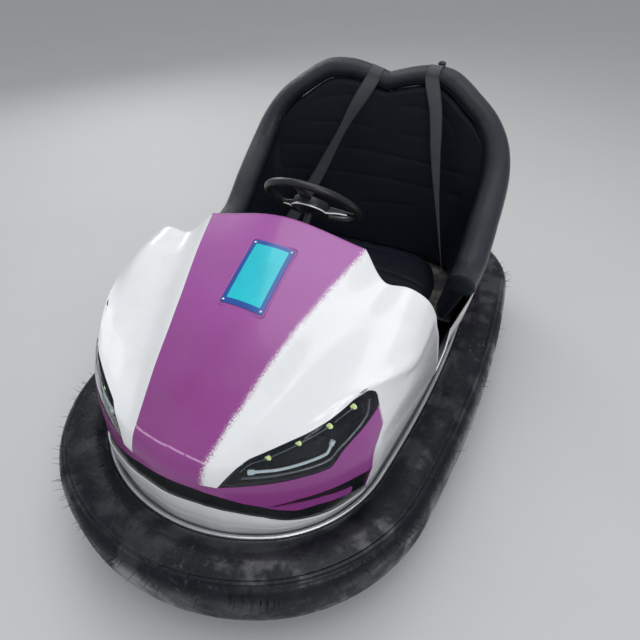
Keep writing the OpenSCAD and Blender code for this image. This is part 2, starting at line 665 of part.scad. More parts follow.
// Height over the deck at shares u across and v along the cushion
function cushion_top(u, v) =
  4 + cushion_t * pow(1 - pow(abs(u), 8), 0.5) * pow(1 - pow(abs(v), 8), 0.5)
  + cushion_crown * (1 - u * u) * (1 - v * v);
function cushion_xy(u, v) =
  let (mid_y = (cushion_front + cushion_back) / 2, half_l = (cushion_back - cushion_front) / 2,
       pull = 0.035, narrow = 1 - cushion_taper * pow((1 + v) / 2, 3))
  [u * cushion_half_w * (1 - pull * pow(abs(v), 6)) * narrow,
   mid_y + v * half_l * (1 - pull * pow(abs(u), 6)) - 26 * max(0, v) * pow(abs(u), 4)];
module seat_cushion() {
  steps = [-1, -0.96, -0.86, -0.6, -0.3, 0, 0.3, 0.6, 0.86, 0.96, 1];
  base = deck_z + seat_gap;
  function layer(top) = [for (u = steps) [for (v = steps)
    let (p = cushion_xy(u, -v)) [p[0], p[1], base + (top ? cushion_top(u, v) : 0)]]];
  color(black) grid_solid(layer(true), layer(false));
}

// Belts: x where each lies over the roll, then points down to the hip: x, y ahead of the ring's rear end, z
belt_t = 3;
belt_rest = 1.1;
belt_paths = [
  [172, [[205, 360, 880], [234, 405, 752], [270, 455, 622], [352, 580, 405]]],
  [-51, [[-100, 344, 860], [-144, 380, 768], [-214, 434, 612], [-318, 508, 412]]]
];
wrap_steps = 3;
// Place on the roll at a distance to the side: [centre, direction to the left, radius]
function roll_spot(x) =
  let (i = max([for (i = [0:roll_n]) if (roll_half[i][0] > abs(x)) i]), a = roll_half[i], b = roll_half[i + 1],
       p = mix(a, b, (a[0] - abs(x)) / (a[0] - b[0])), d = unit(xyz(a) - xyz(b)))
  x > 0 ? [xyz(p), d, p[3]] : [mirror_x(p), -mirror_x(d), p[3]];
module belt(path) {
  spot = roll_spot(path[0]);
  ahead = unit(cross(spot[1], [0, 0, 1]));
  above = cross(spot[1], -ahead);
  reach = spot[2] + belt_rest;
  wrap = [for (k = [0:wrap_steps]) let (a = 90 - 90 * k / wrap_steps)
    spot[0] + reach * (cos(a) * ahead + sin(a) * above)];
  line = smooth(concat(wrap, [for (p = path[1]) [p[0], ring_half_l - p[1], p[2]]]), 3);
  n = len(line) - 1;
  function dir(i) = unit(line[min(i + 1, n)] - line[max(i - 1, 0)]);
  function across(i) = let (d = dir(i),
    s = i <= 3 * wrap_steps + 1 ? spot[1] : unit(cross(d, [0, 1, 0.35]))) unit(s - (s * d) * d);
  function thick(i) = cross(across(i), dir(i));
  top = [for (i = [0:n]) [for (s = [-0.5, 0.5]) line[i] + s * belt_w * across(i)]];
  under = [for (i = [0:n]) [for (s = [-0.5, 0.5]) line[i] + s * belt_w * across(i) - belt_t * thick(i)]];
  color("#2a2c30") grid_solid(top, under);
}

// Batteries under the seat
module battery(side) {
  size = [175, 300, battery_h];
  color("#202225") translate([side > 0 ? 8 : -8 - size[0], riser_y + 12, floor_z]) cube(size);
}

// Rear body: ribs from the seat or the roll down to the base
// rib columns: base angle, row of the roll, then [inset from the ring, z] at the shoulder, the waist,
// the block's top, the block's bottom and the lower band
rear_ribs = [
  [104, 9,  [26, 770], [22, 610], [26, 545], [42, 372], [50, 340]],
  [112, 10, [38, 774], [30, 610], [30, 548], [44, 372], [50, 340]],
  [124, 11, [66, 768], [52, 604], [40, 552], [48, 372], [52, 340]],
  [138, 12, [104, 760], [88, 600], [60, 554], [56, 372], [56, 340]],
  [152, 14, [138, 754], [122, 596], [78, 554], [68, 372], [60, 340]],
  [166, 17, [160, 750], [144, 592], [88, 552], [76, 372], [62, 340]],
  [180, 20, [170, 748], [154, 590], [92, 552], [80, 372], [62, 340]]
];
rib_shares = [0, 0.10, 0.34, 0.46, 0.78, 0.86, 1];
roll_clear = 3.2;
function tub_back(i, share) =
  let (p = tub_half[roll_n - i], q = mix(p[0], p[tub_rows], share), o = roll_out(i))
  q + 9 * unit([o[0], o[1], 0]);
function side_rib(a, top_z) =
  [for (t = rib_shares) mix(ring_xyz(a, 64, top_z), ring_xyz(a, base_inset, rim_top), t)];
function roll_rib(i, a) =
  let (r = roll_half[i][3], down = 0.62 * r, out = sqrt(pow(r + roll_clear, 2) - down * down) + shell_t,
       top = by_roll(i, down, out), base = ring_xyz(a, base_inset, rim_top))
  [for (t = rib_shares) mix(top, base, t) + [5 * sin(180 * t), 0, 0]];
roll_ribs = [[0, 91.8], [2, 93.2], [4, 94.8], [6, 96.4], [8, 99]];
back_share = 0.24;
rear_half = concat(
  [side_rib(sill_angle + 0.06, 268), side_rib(90, 270), side_rib(90.9, 280), side_rib(91.3, 330)],
  [for (p = roll_ribs) roll_rib(p[0], p[1])],
  [for (r = rear_ribs) concat([tub_back(r[1], back_share)],
    [for (i = [2:6]) ring_xyz(r[0], r[i][0], r[i][1])], [ring_xyz(r[0], base_inset, rim_top)])]);
rear_grid = let (g = loft(rear_half, 2, 2, [1, 3, 4], [3, 4]), n = len(g) - 1)
  concat([for (i = [0:n]) g[i]], [for (i = [n - 1:-1:0]) [for (p = g[i]) mirror_x(p)]]);
function rear_skin(d) = lifted(offset_grid(rear_grid, d), rim_top);
module rear_body() {
  color(white) grid_solid(rear_skin(0), rear_skin(-shell_t));
}
module tail_lamp(side) {
  color("#c9c6d8") intersection() {
    grid_solid(rear_skin(3.3), rear_skin(seat_gap));
    on_side(side) translate([300, 560, 400]) cube([400, 130, 150]);
  }
}

floor_pan();
chassis_rails();
bumper_rim();
bumper_tyre();
trim_band();
front_body();
grille_panel();
headlamp_housing(1);  // headlamp_housing_left
headlamp_housing(-1);  // headlamp_housing_right
headlamp_lens(1);  // headlamp_lens_left
headlamp_lens(-1);  // headlamp_lens_right
number_plate();
toe_board();
column_mount();
steering_shaft();
steering_hub();
steering_rim();
accelerator_pedal();
turntable_ring();
turntable_plate();
drive_fork();
drive_motor();
drive_hub();
drive_tyre();
rear_bracket(1);  // rear_bracket_left
rear_bracket(-1);  // rear_bracket_right
rear_hub(1);  // rear_hub_left
rear_hub(-1);  // rear_hub_right
rear_tyre(1);  // rear_tyre_left
rear_tyre(-1);  // rear_tyre_right
rear_body();
tail_lamp(1);  // tail_lamp_left
tail_lamp(-1);  // tail_lamp_right
seat_frame();
seat_shell();
seat_cushion();
seat_back();
seat_roll();
belt(belt_paths[0]);  // belt_left
belt(belt_paths[1]);  // belt_right
battery(1);  // battery_left
battery(-1);  // battery_right
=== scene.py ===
# Two-seat bumper car dressed on its CAD frame. The car faces -Y, its left side is +X.
# Lofts are worked out in millimetres from the same ribs as the solids, and become meshes in metres.
import bpy
import bmesh
import math
import random
from contextlib import contextmanager

import numpy as np
from mathutils import Matrix, Vector
from mathutils.bvhtree import BVHTree


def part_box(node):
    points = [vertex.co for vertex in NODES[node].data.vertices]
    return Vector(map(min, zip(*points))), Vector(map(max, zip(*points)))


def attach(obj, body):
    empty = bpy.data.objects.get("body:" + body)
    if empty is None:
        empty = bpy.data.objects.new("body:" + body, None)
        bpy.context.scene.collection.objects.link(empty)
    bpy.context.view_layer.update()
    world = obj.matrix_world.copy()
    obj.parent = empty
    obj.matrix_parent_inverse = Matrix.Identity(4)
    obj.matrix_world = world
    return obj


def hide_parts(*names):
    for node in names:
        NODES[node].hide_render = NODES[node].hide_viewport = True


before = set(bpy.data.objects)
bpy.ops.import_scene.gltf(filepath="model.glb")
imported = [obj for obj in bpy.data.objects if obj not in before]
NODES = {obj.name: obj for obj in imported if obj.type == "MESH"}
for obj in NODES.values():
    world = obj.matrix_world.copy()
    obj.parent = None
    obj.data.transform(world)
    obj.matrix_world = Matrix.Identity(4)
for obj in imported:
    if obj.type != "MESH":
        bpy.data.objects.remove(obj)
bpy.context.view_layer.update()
MM = 0.001
GAP = 0.3
chance = random.Random(11)


# Camera and lamps

CAMERA_TURN = (-27.42, 39.17, -1.37)  # yaw, pitch down and roll in degrees
CAMERA_PLACE = (0.654, -1.239, 1.421)
FOCAL_PX, PHOTO_PX, SENSOR = 503.4, 640, 36


def photo_camera():
    """Camera worked out from the car's own left-right symmetry in the photo."""
    yaw, pitch, roll = (math.radians(a) for a in CAMERA_TURN)
    ahead = Vector((math.sin(yaw) * math.cos(pitch), math.cos(yaw) * math.cos(pitch), -math.sin(pitch)))
    level = Vector((math.cos(yaw), -math.sin(yaw), 0.0))
    over = level.cross(ahead)
    right = level * math.cos(roll) + over * math.sin(roll)
    up = over * math.cos(roll) - level * math.sin(roll)
    camera = bpy.data.objects.new("photo_camera", bpy.data.cameras.new("photo_camera"))
    camera.data.sensor_width = SENSOR
    camera.data.lens = SENSOR * FOCAL_PX / PHOTO_PX
    pose = Matrix((right, up, -ahead)).transposed().to_4x4()
    pose.translation = CAMERA_PLACE
    camera.matrix_world = pose
    bpy.context.scene.collection.objects.link(camera)
    bpy.context.scene.camera = camera


def soft_lamp(name, place, aim, size, watts):
    lamp = bpy.data.lights.new(name, "AREA")
    lamp.shape, lamp.size, lamp.size_y, lamp.energy = "RECTANGLE", size[0], size[1], watts
    obj = bpy.data.objects.new(name, lamp)
    obj.location = place
    obj.rotation_euler = (Vector(aim) - Vector(place)).to_track_quat("-Z", "Y").to_euler()
    bpy.context.scene.collection.objects.link(obj)


# Materials

EDGE = 0.001  # a masked paint edge, soft over this width


class Paint:
    """Principled material whose sockets are filled step by step from nodes on Object coordinates."""

    def __init__(self, name, **fixed):
        self.mat = bpy.data.materials.new(name)
        self.mat.use_nodes = True
        self.tree = self.mat.node_tree
        self.tree.nodes.clear()
        self.shader = self.tree.nodes.new("ShaderNodeBsdfPrincipled")
        out = self.tree.nodes.new("ShaderNodeOutputMaterial")
        self.tree.links.new(self.shader.outputs[0], out.inputs[0])
        for socket, value in fixed.items():
            self.shader.inputs[socket.replace("_", " ")].default_value = value
        coords = self.tree.nodes.new("ShaderNodeTexCoord")
        self.place, self.uv = coords.outputs["Object"], coords.outputs["UV"]

    def fill(self, socket, source):
        if isinstance(source, bpy.types.NodeSocket):
            self.tree.links.new(source, socket)
        elif isinstance(source, tuple) and len(source) == 3 and socket.type == "RGBA":
            socket.default_value = (*source, 1)
        else:
            socket.default_value = source

    def set(self, **sockets):
        for name, source in sockets.items():
            self.fill(self.shader.inputs[name.replace("_", " ")], source)
        return self

    def group(self, name, **inputs):
        """Shared effect on the piece's own coordinates."""
        node = self.tree.nodes.new("ShaderNodeGroup")
        node.node_tree = EFFECTS[name]
        self.fill(node.inputs["Place"], self.place)
        for key, source in inputs.items():
            self.fill(node.inputs[key], source)
        return node.outputs[0]

    def math(self, kind, a, b=0.0, c=0.0, clamp=False):
        node = self.tree.nodes.new("ShaderNodeMath")
        node.operation, node.use_clamp = kind, clamp
        for i, source in enumerate((a, b, c)):
            self.fill(node.inputs[i], source)
        return node.outputs[0]

    def times(self, a, b):
        return self.math("MULTIPLY", a, b)

    def times_plus(self, a, b, c):
        """a times b, plus c."""
        return self.math("MULTIPLY_ADD", a, b, c)

    def minus(self, a, b):
        return self.math("SUBTRACT", a, b)

    def larger(self, a, b):
        return self.math("MAXIMUM", a, b)

    def size_of(self, a):
        return self.math("ABSOLUTE", a)

    def scaled(self, vector, factor):
        node = self.tree.nodes.new("ShaderNodeVectorMath")
        node.operation = "SCALE"
        self.fill(node.inputs[0], vector)
        self.fill(node.inputs["Scale"], factor)
        return node.outputs[0]

    def blend(self, share, a, b):
        node = self.tree.nodes.new("ShaderNodeMix")
        node.data_type = "RGBA"
        self.fill(node.inputs[0], share)
        self.fill(node.inputs[6], a)
        self.fill(node.inputs[7], b)
        return node.outputs[2]

    def tint(self, colour, amount):
        node = self.tree.nodes.new("ShaderNodeHueSaturation")
        self.fill(node.inputs["Color"], colour)
        self.fill(node.inputs["Value"], amount)
        return node.outputs[0]

    def split(self, vector=None):
        node = self.tree.nodes.new("ShaderNodeSeparateXYZ")
        self.fill(node.inputs[0], vector or self.place)
        return node.outputs

    def noise(self, scale, detail=2.0, rough=0.5, vector=None):
        node = self.tree.nodes.new("ShaderNodeTexNoise")
        self.fill(node.inputs["Vector"], vector or self.place)
        node.inputs["Scale"].default_value = scale
        node.inputs["Detail"].default_value = detail
        node.inputs["Roughness"].default_value = rough
        return node.outputs["Fac"]

    def sway(self, scale, detail=2.0, rough=0.5):
        """Noise about zero."""
        return self.minus(self.noise(scale, detail, rough), 0.5)

    def step(self, value, low, high):
        """0 below low, 1 above high."""
        node = self.tree.nodes.new("ShaderNodeMapRange")
        node.interpolation_type = "SMOOTHSTEP"
        for key, source in (("Value", value), ("From Min", low), ("From Max", high)):
            self.fill(node.inputs[key], source)
        return node.outputs[0]

    def above(self, value, line):
        return self.step(value, line, line + EDGE)

    def below(self, value, line):
        return self.step(value, line, line - EDGE)

    def curve(self, value, points, low, high, floor, top):
        """Value read off a curve: points (at, value) inside the ranges low..high and floor..top."""
        node = self.tree.nodes.new("ShaderNodeFloatCurve")
        line = node.mapping.curves[0]
        knots = [((a - low) / (high - low), (v - floor) / (top - floor)) for a, v in points]
        while len(line.points) < len(knots):
            line.points.new(0.5, 0.5)
        for knot, spot in zip(line.points, sorted(knots)):
            knot.location = spot
            knot.handle_type = "VECTOR"
        node.mapping.update()
        share = self.math("DIVIDE", self.minus(value, low), high - low, clamp=True)
        self.fill(node.inputs["Value"], share)
        return self.times_plus(node.outputs[0], top - floor, floor)

    def bump(self, height, depth, below=None):
        node = self.tree.nodes.new("ShaderNodeBump")
        node.inputs["Distance"].default_value = depth
        self.fill(node.inputs["Height"], height)
        if below is not None:
            self.tree.links.new(below, node.inputs["Normal"])
        return node.outputs[0]


EFFECTS = {}
FLOAT, VECTOR = "NodeSocketFloat", "NodeSocketVector"
PLACE = ("Place", VECTOR, None)


def effect(name, inputs, output):
    """New node group with one float output: its painter, its input sockets and its output's sockets."""
    tree = bpy.data.node_groups.new(name, "ShaderNodeTree")
    for key, kind, value in inputs:
        socket = tree.interface.new_socket(key, in_out="INPUT", socket_type=kind)
        if value is not None:
            socket.default_value = value
    tree.interface.new_socket(output, in_out="OUTPUT", socket_type=FLOAT)
    EFFECTS[name] = tree
    group = Paint.__new__(Paint)
    group.tree = tree
    return group, tree.nodes.new("NodeGroupInput").outputs, tree.nodes.new("NodeGroupOutput").inputs


def build_effects():
    """Wear and grain that several finishes share."""
    g, put, out = effect("uneven tone", [PLACE, ("Scale", FLOAT, 8.0), ("Spread", FLOAT, 0.1)], "Value")
    large = g.noise(1.0, 3.0, 0.6, g.scaled(put["Place"], put["Scale"]))
    g.fill(out["Value"], g.times_plus(g.minus(large, 0.5), put["Spread"], 1.0))

    g, put, out = effect("settled dust", [PLACE, ("Scale", FLOAT, 14.0), ("Amount", FLOAT, 0.5)], "Mask")
    facing = g.split(g.tree.nodes.new("ShaderNodeNewGeometry").outputs["Normal"])[2]
    patches = g.noise(1.0, 6.0, 0.65, g.scaled(put["Place"], put["Scale"]))
    lying = g.times(g.step(facing, 0.1, 0.9), g.step(patches, 0.42, 0.75))
    g.fill(out["Mask"], g.times(lying, put["Amount"]))

    g, put, out = effect("scuffs", [PLACE, ("Scale", FLOAT, 30.0), ("Amount", FLOAT, 0.5)], "Mask")
    spots = g.noise(1.0, 8.0, 0.7, g.scaled(put["Place"], put["Scale"]))
    areas = g.noise(4.0, 2.0, 0.5, put["Place"])
    worn = g.times(g.step(spots, 0.56, 0.72), g.step(areas, 0.5, 0.66))
    g.fill(out["Mask"], g.times(worn, put["Amount"]))

    g, put, out = effect("hide grain", [PLACE, ("Scale", FLOAT, 420.0)], "Height")
    cells = g.tree.nodes.new("ShaderNodeTexVoronoi")
    cells.feature = "DISTANCE_TO_EDGE"
    g.fill(cells.inputs["Vector"], g.scaled(put["Place"], put["Scale"]))
    cells.inputs["Scale"].default_value = 1.0
    folds = g.noise(0.12, 3.0, 0.6, g.scaled(put["Place"], put["Scale"]))
    pebbles = g.step(cells.outputs["Distance"], 0.0, 0.25)
    g.fill(out["Height"], g.times_plus(folds, 0.8, pebbles))

    g, put, out = effect("pressed grain", [PLACE, ("Scale", FLOAT, 600.0)], "Height")
    g.fill(out["Height"], g.noise(1.0, 4.0, 0.7, g.scaled(put["Place"], put["Scale"])))


SHELL_WHITE = (0.83, 0.84, 0.85)
PURPLE = (0.355, 0.078, 0.345)
DEEP_PURPLE = (0.27, 0.045, 0.24)
RUBBER_BLACK = (0.0040, 0.0056, 0.0092)
HIDE_BLACK = (0.0035, 0.005, 0.011)
DUST = (0.23, 0.22, 0.205)

# Paint masks in metres: the hood stripe's half width along the car, the nose panel's top edge, the mouth's
# lower edge and the nose crease across it, and the nose panel's outer edge up the pillar
STRIPE_HALF_W = [(-0.80, 0.100), (-0.785, 0.103), (-0.757, 0.106), (-0.70, 0.118), (-0.62, 0.136),
                 (-0.53, 0.153), (-0.436, 0.175), (-0.32, 0.207), (-0.184, 0.243), (-0.15, 0.252)]
FASCIA_TOP = [(0.0, 0.40), (0.103, 0.408), (0.139, 0.408), (0.17, 0.425), (0.20, 0.44), (0.25, 0.46),
              (0.30, 0.48), (0.35, 0.51), (0.40, 0.545), (0.425, 0.552), (0.45, 0.556)]
MOUTH_LOW = [(0.0, 0.36), (0.15, 0.345), (0.215, 0.335), (0.25, 0.322), (0.30, 0.308), (0.35, 0.296),
             (0.40, 0.28), (0.45, 0.27)]
NOSE_CREASE = [(-0.13, 0.4685), (-0.087, 0.4665), (0.01, 0.4690), (0.109, 0.4585), (0.13, 0.457)]
PILLAR_EDGE = [(0.22, 0.405), (0.243, 0.409), (0.37, 0.428), (0.484, 0.430), (0.552, 0.425), (0.60, 0.42)]


def shell_base(paint):
    """Glossy gel coat: colour unevenness, road dust and fine ripples, as shared inputs."""
    dust = paint.group("settled dust", Scale=9.0, Amount=0.10)
    scuff = paint.group("scuffs", Scale=34.0, Amount=0.25)
    tone = paint.group("uneven tone", Scale=5.0, Spread=0.07)
    ripple = paint.bump(paint.noise(5.0, 1.0), 0.0005)
    return dust, scuff, tone, paint.bump(paint.noise(900.0, 1.0), 0.000015, ripple)


SPRAY_SPREAD, SPRAY_DRIFT = 0.062, 0.006
# painted highlight along the nose crease: its half width and its pale pink
CREASE_HIGHLIGHT_HALF_W, CREASE_HIGHLIGHT_PINK = 0.0008, (0.72, 0.40, 0.66)
SHELL_GLOSS = {"Roughness": 0.2, "Coat_Weight": 0.5, "Coat_Roughness": 0.10, "IOR": 1.46}


def gel_coat(p, purple, coat, dust, scuff, tone):
    """White gel coat with purple panels under uneven tone, scuffs and dust."""
    base = p.tint(p.blend(purple, SHELL_WHITE, coat), tone)
    return p.blend(p.larger(dust, p.times(scuff, 0.35)), base, DUST)


def front_shell_paint():
    p = Paint("front_shell_paint", **SHELL_GLOSS)
    dust, scuff, tone, relief = shell_base(p)
    x, y, z = p.split()
    side = p.size_of(x)
    half_w = p.curve(y, STRIPE_HALF_W, -0.80, -0.15, 0.08, 0.26)
    # crisp masked edge on the right, rough overspray on the left
    spray = p.times_plus(p.sway(430.0, 2.0, 0.8), SPRAY_SPREAD, p.times(p.sway(30.0, 2.0), SPRAY_DRIFT))
    left_edge = p.minus(p.math("ADD", half_w, spray), x)
    right_edge = p.math("ADD", half_w, x)
    stripe = p.times(p.step(left_edge, -0.0006, 0.0006), p.step(right_edge, -0.0004, 0.0004))
    low = p.minus(p.curve(side, FASCIA_TOP, 0.0, 0.45, 0.3, 0.6), z)
    inner = p.minus(p.curve(z, PILLAR_EDGE, 0.22, 0.60, 0.35, 0.45), side)
    fascia = p.times(p.above(low, 0.0), p.above(inner, 0.0))
    fascia = p.times(fascia, p.step(y, -0.49, -0.50))
    over_lip = p.above(p.minus(z, p.curve(side, MOUTH_LOW, 0.0, 0.45, 0.25, 0.40)), 0.0)
    purple = p.times(p.larger(stripe, fascia), over_lip)
    # the purple is darker on the nose and lighter towards the cowl, with blotches
    depth = p.math("ADD", p.step(y, -0.72, -0.35), p.times(p.sway(7.0, 3.0), 0.9))
    coat = p.blend(p.math("ADD", depth, 0.0, clamp=True), DEEP_PURPLE, PURPLE)
    # painted highlight: a pale pink line along the crease where the nose turns down, broken up by noise
    from_crease = p.size_of(p.minus(z, p.curve(x, NOSE_CREASE, -0.13, 0.13, 0.44, 0.48)))
    crease_highlight = p.minus(1.0, p.step(from_crease, CREASE_HIGHLIGHT_HALF_W, CREASE_HIGHLIGHT_HALF_W + 0.0014))
    crease_highlight = p.times(p.times(crease_highlight, p.step(y, -0.62, -0.66)), p.step(p.noise(60.0, 3.0), 0.36, 0.5))
    coat = p.blend(p.times(crease_highlight, 0.7), coat, CREASE_HIGHLIGHT_PINK)
    rough = p.times_plus(p.larger(dust, scuff), 0.5, p.times_plus(purple, 0.06, 0.26))
    p.set(Base_Color=gel_coat(p, purple, coat, dust, scuff, tone), Roughness=rough, Normal=relief,
          Coat_Weight=p.times_plus(purple, -0.15, 0.55))
    return p.mat


FLANK_LEAN, FLANK_START, FLANK_LOW = -0.62, 0.085, 0.300
TAIL_START, TAIL_LOW, BODY_LEDGE = 0.560, 0.350, 0.556


def rear_shell_paint():
    """Purple panels that lean back on the flanks, and a purple block round the tail."""
    p = Paint("rear_shell_paint", **SHELL_GLOSS)
    dust, scuff, tone, relief = shell_base(p)
    _, y, z = p.split()
    under_roll = p.above(p.minus(p.times_plus(y, 0.95, 0.185), z), 0.0)
    flank = p.times(p.above(p.times_plus(z, FLANK_LEAN, y), FLANK_START), p.above(z, FLANK_LOW))
    flank = p.times(p.times(flank, under_roll), p.below(z, BODY_LEDGE))
    block = p.times(p.above(y, TAIL_START), p.times(p.above(z, TAIL_LOW), p.below(z, BODY_LEDGE)))
    coat = p.blend(p.noise(6.0, 3.0), DEEP_PURPLE, PURPLE)
    p.set(Base_Color=gel_coat(p, p.larger(flank, block), coat, dust, scuff, tone), Normal=relief,
          Roughness=p.times_plus(p.larger(dust, scuff), 0.5, 0.18))
    return p.mat


def plain(name, colour, rough, metal=0.0, coat=0.0, spread=0.12, scale=9.0, grain=0.0, grain_scale=700.0,
          dust=0.0, scuff=0.0, scuff_colour=(0.12, 0.12, 0.12), **fixed):
    """Moulded, painted or bare surface: uneven tone, settled dust, scuffs and a fine grain."""
    p = Paint(name, Metallic=metal, Coat_Weight=coat, **fixed)
    base = p.tint(colour, p.group("uneven tone", Scale=scale, Spread=spread * 4))
    worn = p.group("scuffs", Scale=45.0, Amount=scuff)
    lying = p.group("settled dust", Scale=16.0, Amount=dust)
    base = p.blend(lying, p.blend(worn, base, scuff_colour), DUST)
    smudge = p.times_plus(p.sway(scale * 3, 4.0, 0.6), 0.25, rough)
    p.set(Base_Color=base, Roughness=p.larger(smudge, p.times(lying, 0.9)))
    p.set(Normal=p.bump(p.group("pressed grain", Scale=grain_scale), grain or 0.00002))
    return p.mat


def tyre_rubber():
    """Glossy black rubber, wet in patches, with grey scuffs and road dust low down."""
    p = Paint("ring_rubber", IOR=1.45, Specular_IOR_Level=0.28, Coat_Roughness=0.16)
    z = p.split()[2]
    worn = p.group("scuffs", Scale=48.0, Amount=0.8)
    streaks = p.group("scuffs", Scale=70.0, Amount=0.55)
    lying = p.group("settled dust", Scale=7.0, Amount=0.45)
    low_dust = p.times(p.step(z, 0.16, 0.10), p.step(p.noise(5.0, 5.0, 0.6), 0.45, 0.7))
    base = p.tint(RUBBER_BLACK, p.group("uneven tone", Scale=12.0, Spread=1.2))
    base = p.blend(p.larger(worn, streaks), base, (0.085, 0.090, 0.100))
    base = p.blend(p.times(p.larger(lying, low_dust), 0.22), base, (0.12, 0.12, 0.122))
    rough = p.times_plus(p.step(p.noise(9.0, 5.0, 0.65), 0.38, 0.62), 0.40, 0.15)
    rough = p.larger(rough, p.times(p.larger(worn, lying), 0.8))
    dents = p.bump(p.noise(9.0, 4.0, 0.6), 0.006)
    wet = p.times(p.step(p.noise(7.0, 4.0, 0.6), 0.50, 0.60), p.minus(1.0, worn))
    p.set(Base_Color=base, Roughness=rough, Coat_Weight=p.times(wet, 0.7),
          Normal=p.bump(p.noise(160.0, 5.0, 0.7), 0.0009, dents))
    return p.mat


def hide(name, colour, rough, sheen_tint, crush, shine=0.3):
    """Imitation leather: fine grain over soft wrinkles, a little dusty."""
    p = Paint(name, IOR=1.46, Specular_IOR_Level=shine, Sheen_Weight=0.04, Sheen_Roughness=0.4,
              Sheen_Tint=(*sheen_tint, 1))
    tone = p.group("uneven tone", Scale=6.0, Spread=0.9)
    lying = p.group("settled dust", Scale=18.0, Amount=0.10)
    worn = p.group("scuffs", Scale=40.0, Amount=0.25)
    dirt = p.larger(lying, p.times(worn, 0.3))
    gloss = p.times_plus(p.sway(14.0, 5.0, 0.6), 0.28, rough)
    wrinkles = p.bump(p.noise(26.0, 4.0, 0.55), crush)
    grain = p.bump(p.group("hide grain", Scale=480.0), 0.00035, wrinkles)
    p.set(Base_Color=p.blend(dirt, p.tint(colour, tone), (0.05, 0.055, 0.065)), Roughness=gloss, Normal=grain)
    return p.mat


RIB_PITCH, CORD_PITCH, SELVEDGE = 0.0024, 0.0042, 0.0195


def webbing():
    """Ribbed belt webbing on the strap's own UVs, in metres across and along it."""
    p = Paint("belt_webbing_weave", Sheen_Weight=0.35, Sheen_Roughness=0.5, Sheen_Tint=(0.55, 0.58, 0.62, 1))
    across, along, _ = p.split(p.uv)
    ribs = p.math("SINE", p.times(along, math.tau / RIB_PITCH))
    cords = p.math("SINE", p.times(across, math.tau / CORD_PITCH))
    weave = p.times(ribs, cords)
    edge = p.step(p.size_of(across), SELVEDGE, SELVEDGE + 0.002)
    fuzz = p.times_plus(p.noise(35.0, 4.0), 0.5, 0.72)
    base = p.tint(p.blend(edge, (0.052, 0.057, 0.064), (0.030, 0.033, 0.038)), fuzz)
    p.set(Base_Color=base, Roughness=p.times_plus(weave, 0.08, 0.62),
          Normal=p.bump(p.times_plus(edge, 0.6, weave), 0.0004))
    return p.mat


PLATE_BORDER, PLATE_BLUE = 0.0125, (0.003, 0.075, 0.34)


def plate_enamel(centre, size):
    """Blank plate: cyan face inside a blue border, both sprayed on the same sheet."""
    p = Paint("plate_enamel", Coat_Weight=0.5, Coat_Roughness=0.12, IOR=1.48)
    x, y, _ = p.split()
    dx = p.minus(size[0] / 2 - PLATE_BORDER, p.size_of(p.minus(x, centre[0])))
    dy = p.minus(size[1] / 2 - PLATE_BORDER, p.size_of(p.minus(y, centre[1])))
    face = p.step(p.math("SMOOTH_MIN", dx, dy, 0.004), -0.0005, 0.0005)
    speckle = p.step(p.noise(500.0, 2.0), 0.35, 0.6)
    cyan = p.blend(speckle, (0.0, 0.50, 0.60), (0.005, 0.57, 0.66))
    base = p.tint(p.blend(face, PLATE_BLUE, cyan), p.group("uneven tone", Scale=20.0, Spread=0.3))
    worn = p.group("scuffs", Scale=90.0, Amount=0.3)
    p.set(Base_Color=p.blend(worn, base, (0.45, 0.55, 0.6)), Roughness=p.times_plus(worn, 0.3, 0.3),
          Normal=p.bump(p.noise(240.0, 2.0), 0.00012))
    return p.mat


def clear_lens():
    p = Paint("clear_lens", Transmission_Weight=1.0, IOR=1.22, Coat_Weight=0.12, Coat_Roughness=0.03)
    haze = p.group("settled dust", Scale=22.0, Amount=0.10)
    p.set(Base_Color=p.blend(haze, (0.86, 0.89, 0.91), (0.55, 0.55, 0.53)),
          Roughness=p.times_plus(haze, 0.5, 0.02), Normal=p.bump(p.noise(18.0, 1.0), 0.0004))
    return p.mat


def glow(name, colour, strength):
    """Lit plastic of the lamps' diodes and light bar."""
    p = Paint(name, Roughness=0.3, Emission_Strength=strength)
    cells = p.group("pressed grain", Scale=500.0)
    shade = p.tint(colour, p.times_plus(cells, 0.8, 0.6))
    p.set(Base_Color=shade, Emission_Color=shade, Normal=p.bump(cells, 0.0004))
    return p.mat


# Meshes

def select_only(obj):
    bpy.ops.object.select_all(action="DESELECT")
    obj.select_set(True)
    bpy.context.view_layer.objects.active = obj


def mesh_piece(name, points, faces):
    """Mesh object from points in millimetres."""
    mesh = bpy.data.meshes.new(name)
    mesh.from_pydata([tuple(map(float, p)) for p in np.asarray(points, float) * MM], [], faces)
    mesh.validate()
    obj = bpy.data.objects.new(name, mesh)
    bpy.context.scene.collection.objects.link(obj)
    outward(obj)
    return obj


@contextmanager
def opened(obj):
    """The object's mesh opened for work, and written back afterwards."""
    work = bmesh.new()
    work.from_mesh(obj.data)
    yield work
    work.to_mesh(obj.data)
    work.free()


def outward(obj):
    with opened(obj) as work:
        bmesh.ops.recalc_face_normals(work, faces=work.faces)


def apply(obj, kind, **settings):
    select_only(obj)
    modifier = obj.modifiers.new(kind.lower(), kind)
    for key, value in settings.items():
        setattr(modifier, key, value)
    bpy.ops.object.modifier_apply(modifier=modifier.name)
    return obj


def join(name, pieces):
    bpy.ops.object.select_all(action="DESELECT")
    for piece in pieces:
        piece.select_set(True)
    bpy.context.view_layer.objects.active = pieces[0]
    bpy.ops.object.join()
    pieces[0].name = pieces[0].data.name = name
    return pieces[0]


def settle(obj):
    """Puts the object's place into its mesh."""
    select_only(obj)
    bpy.ops.object.transform_apply(location=True, rotation=True, scale=True)
    return obj


def smooth_faces(obj, degrees=35):
    select_only(obj)
    bpy.ops.object.shade_smooth_by_angle(angle=math.radians(degrees))
    return obj


def dress(obj, material, body="chassis", slot=None, stands_for=(), degrees=35):
    obj.data.materials.clear()
    obj.data.materials.append(material)
    smooth_faces(obj, degrees)
    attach(obj, body)
    if stands_for:
        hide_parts(*stands_for)
    return obj


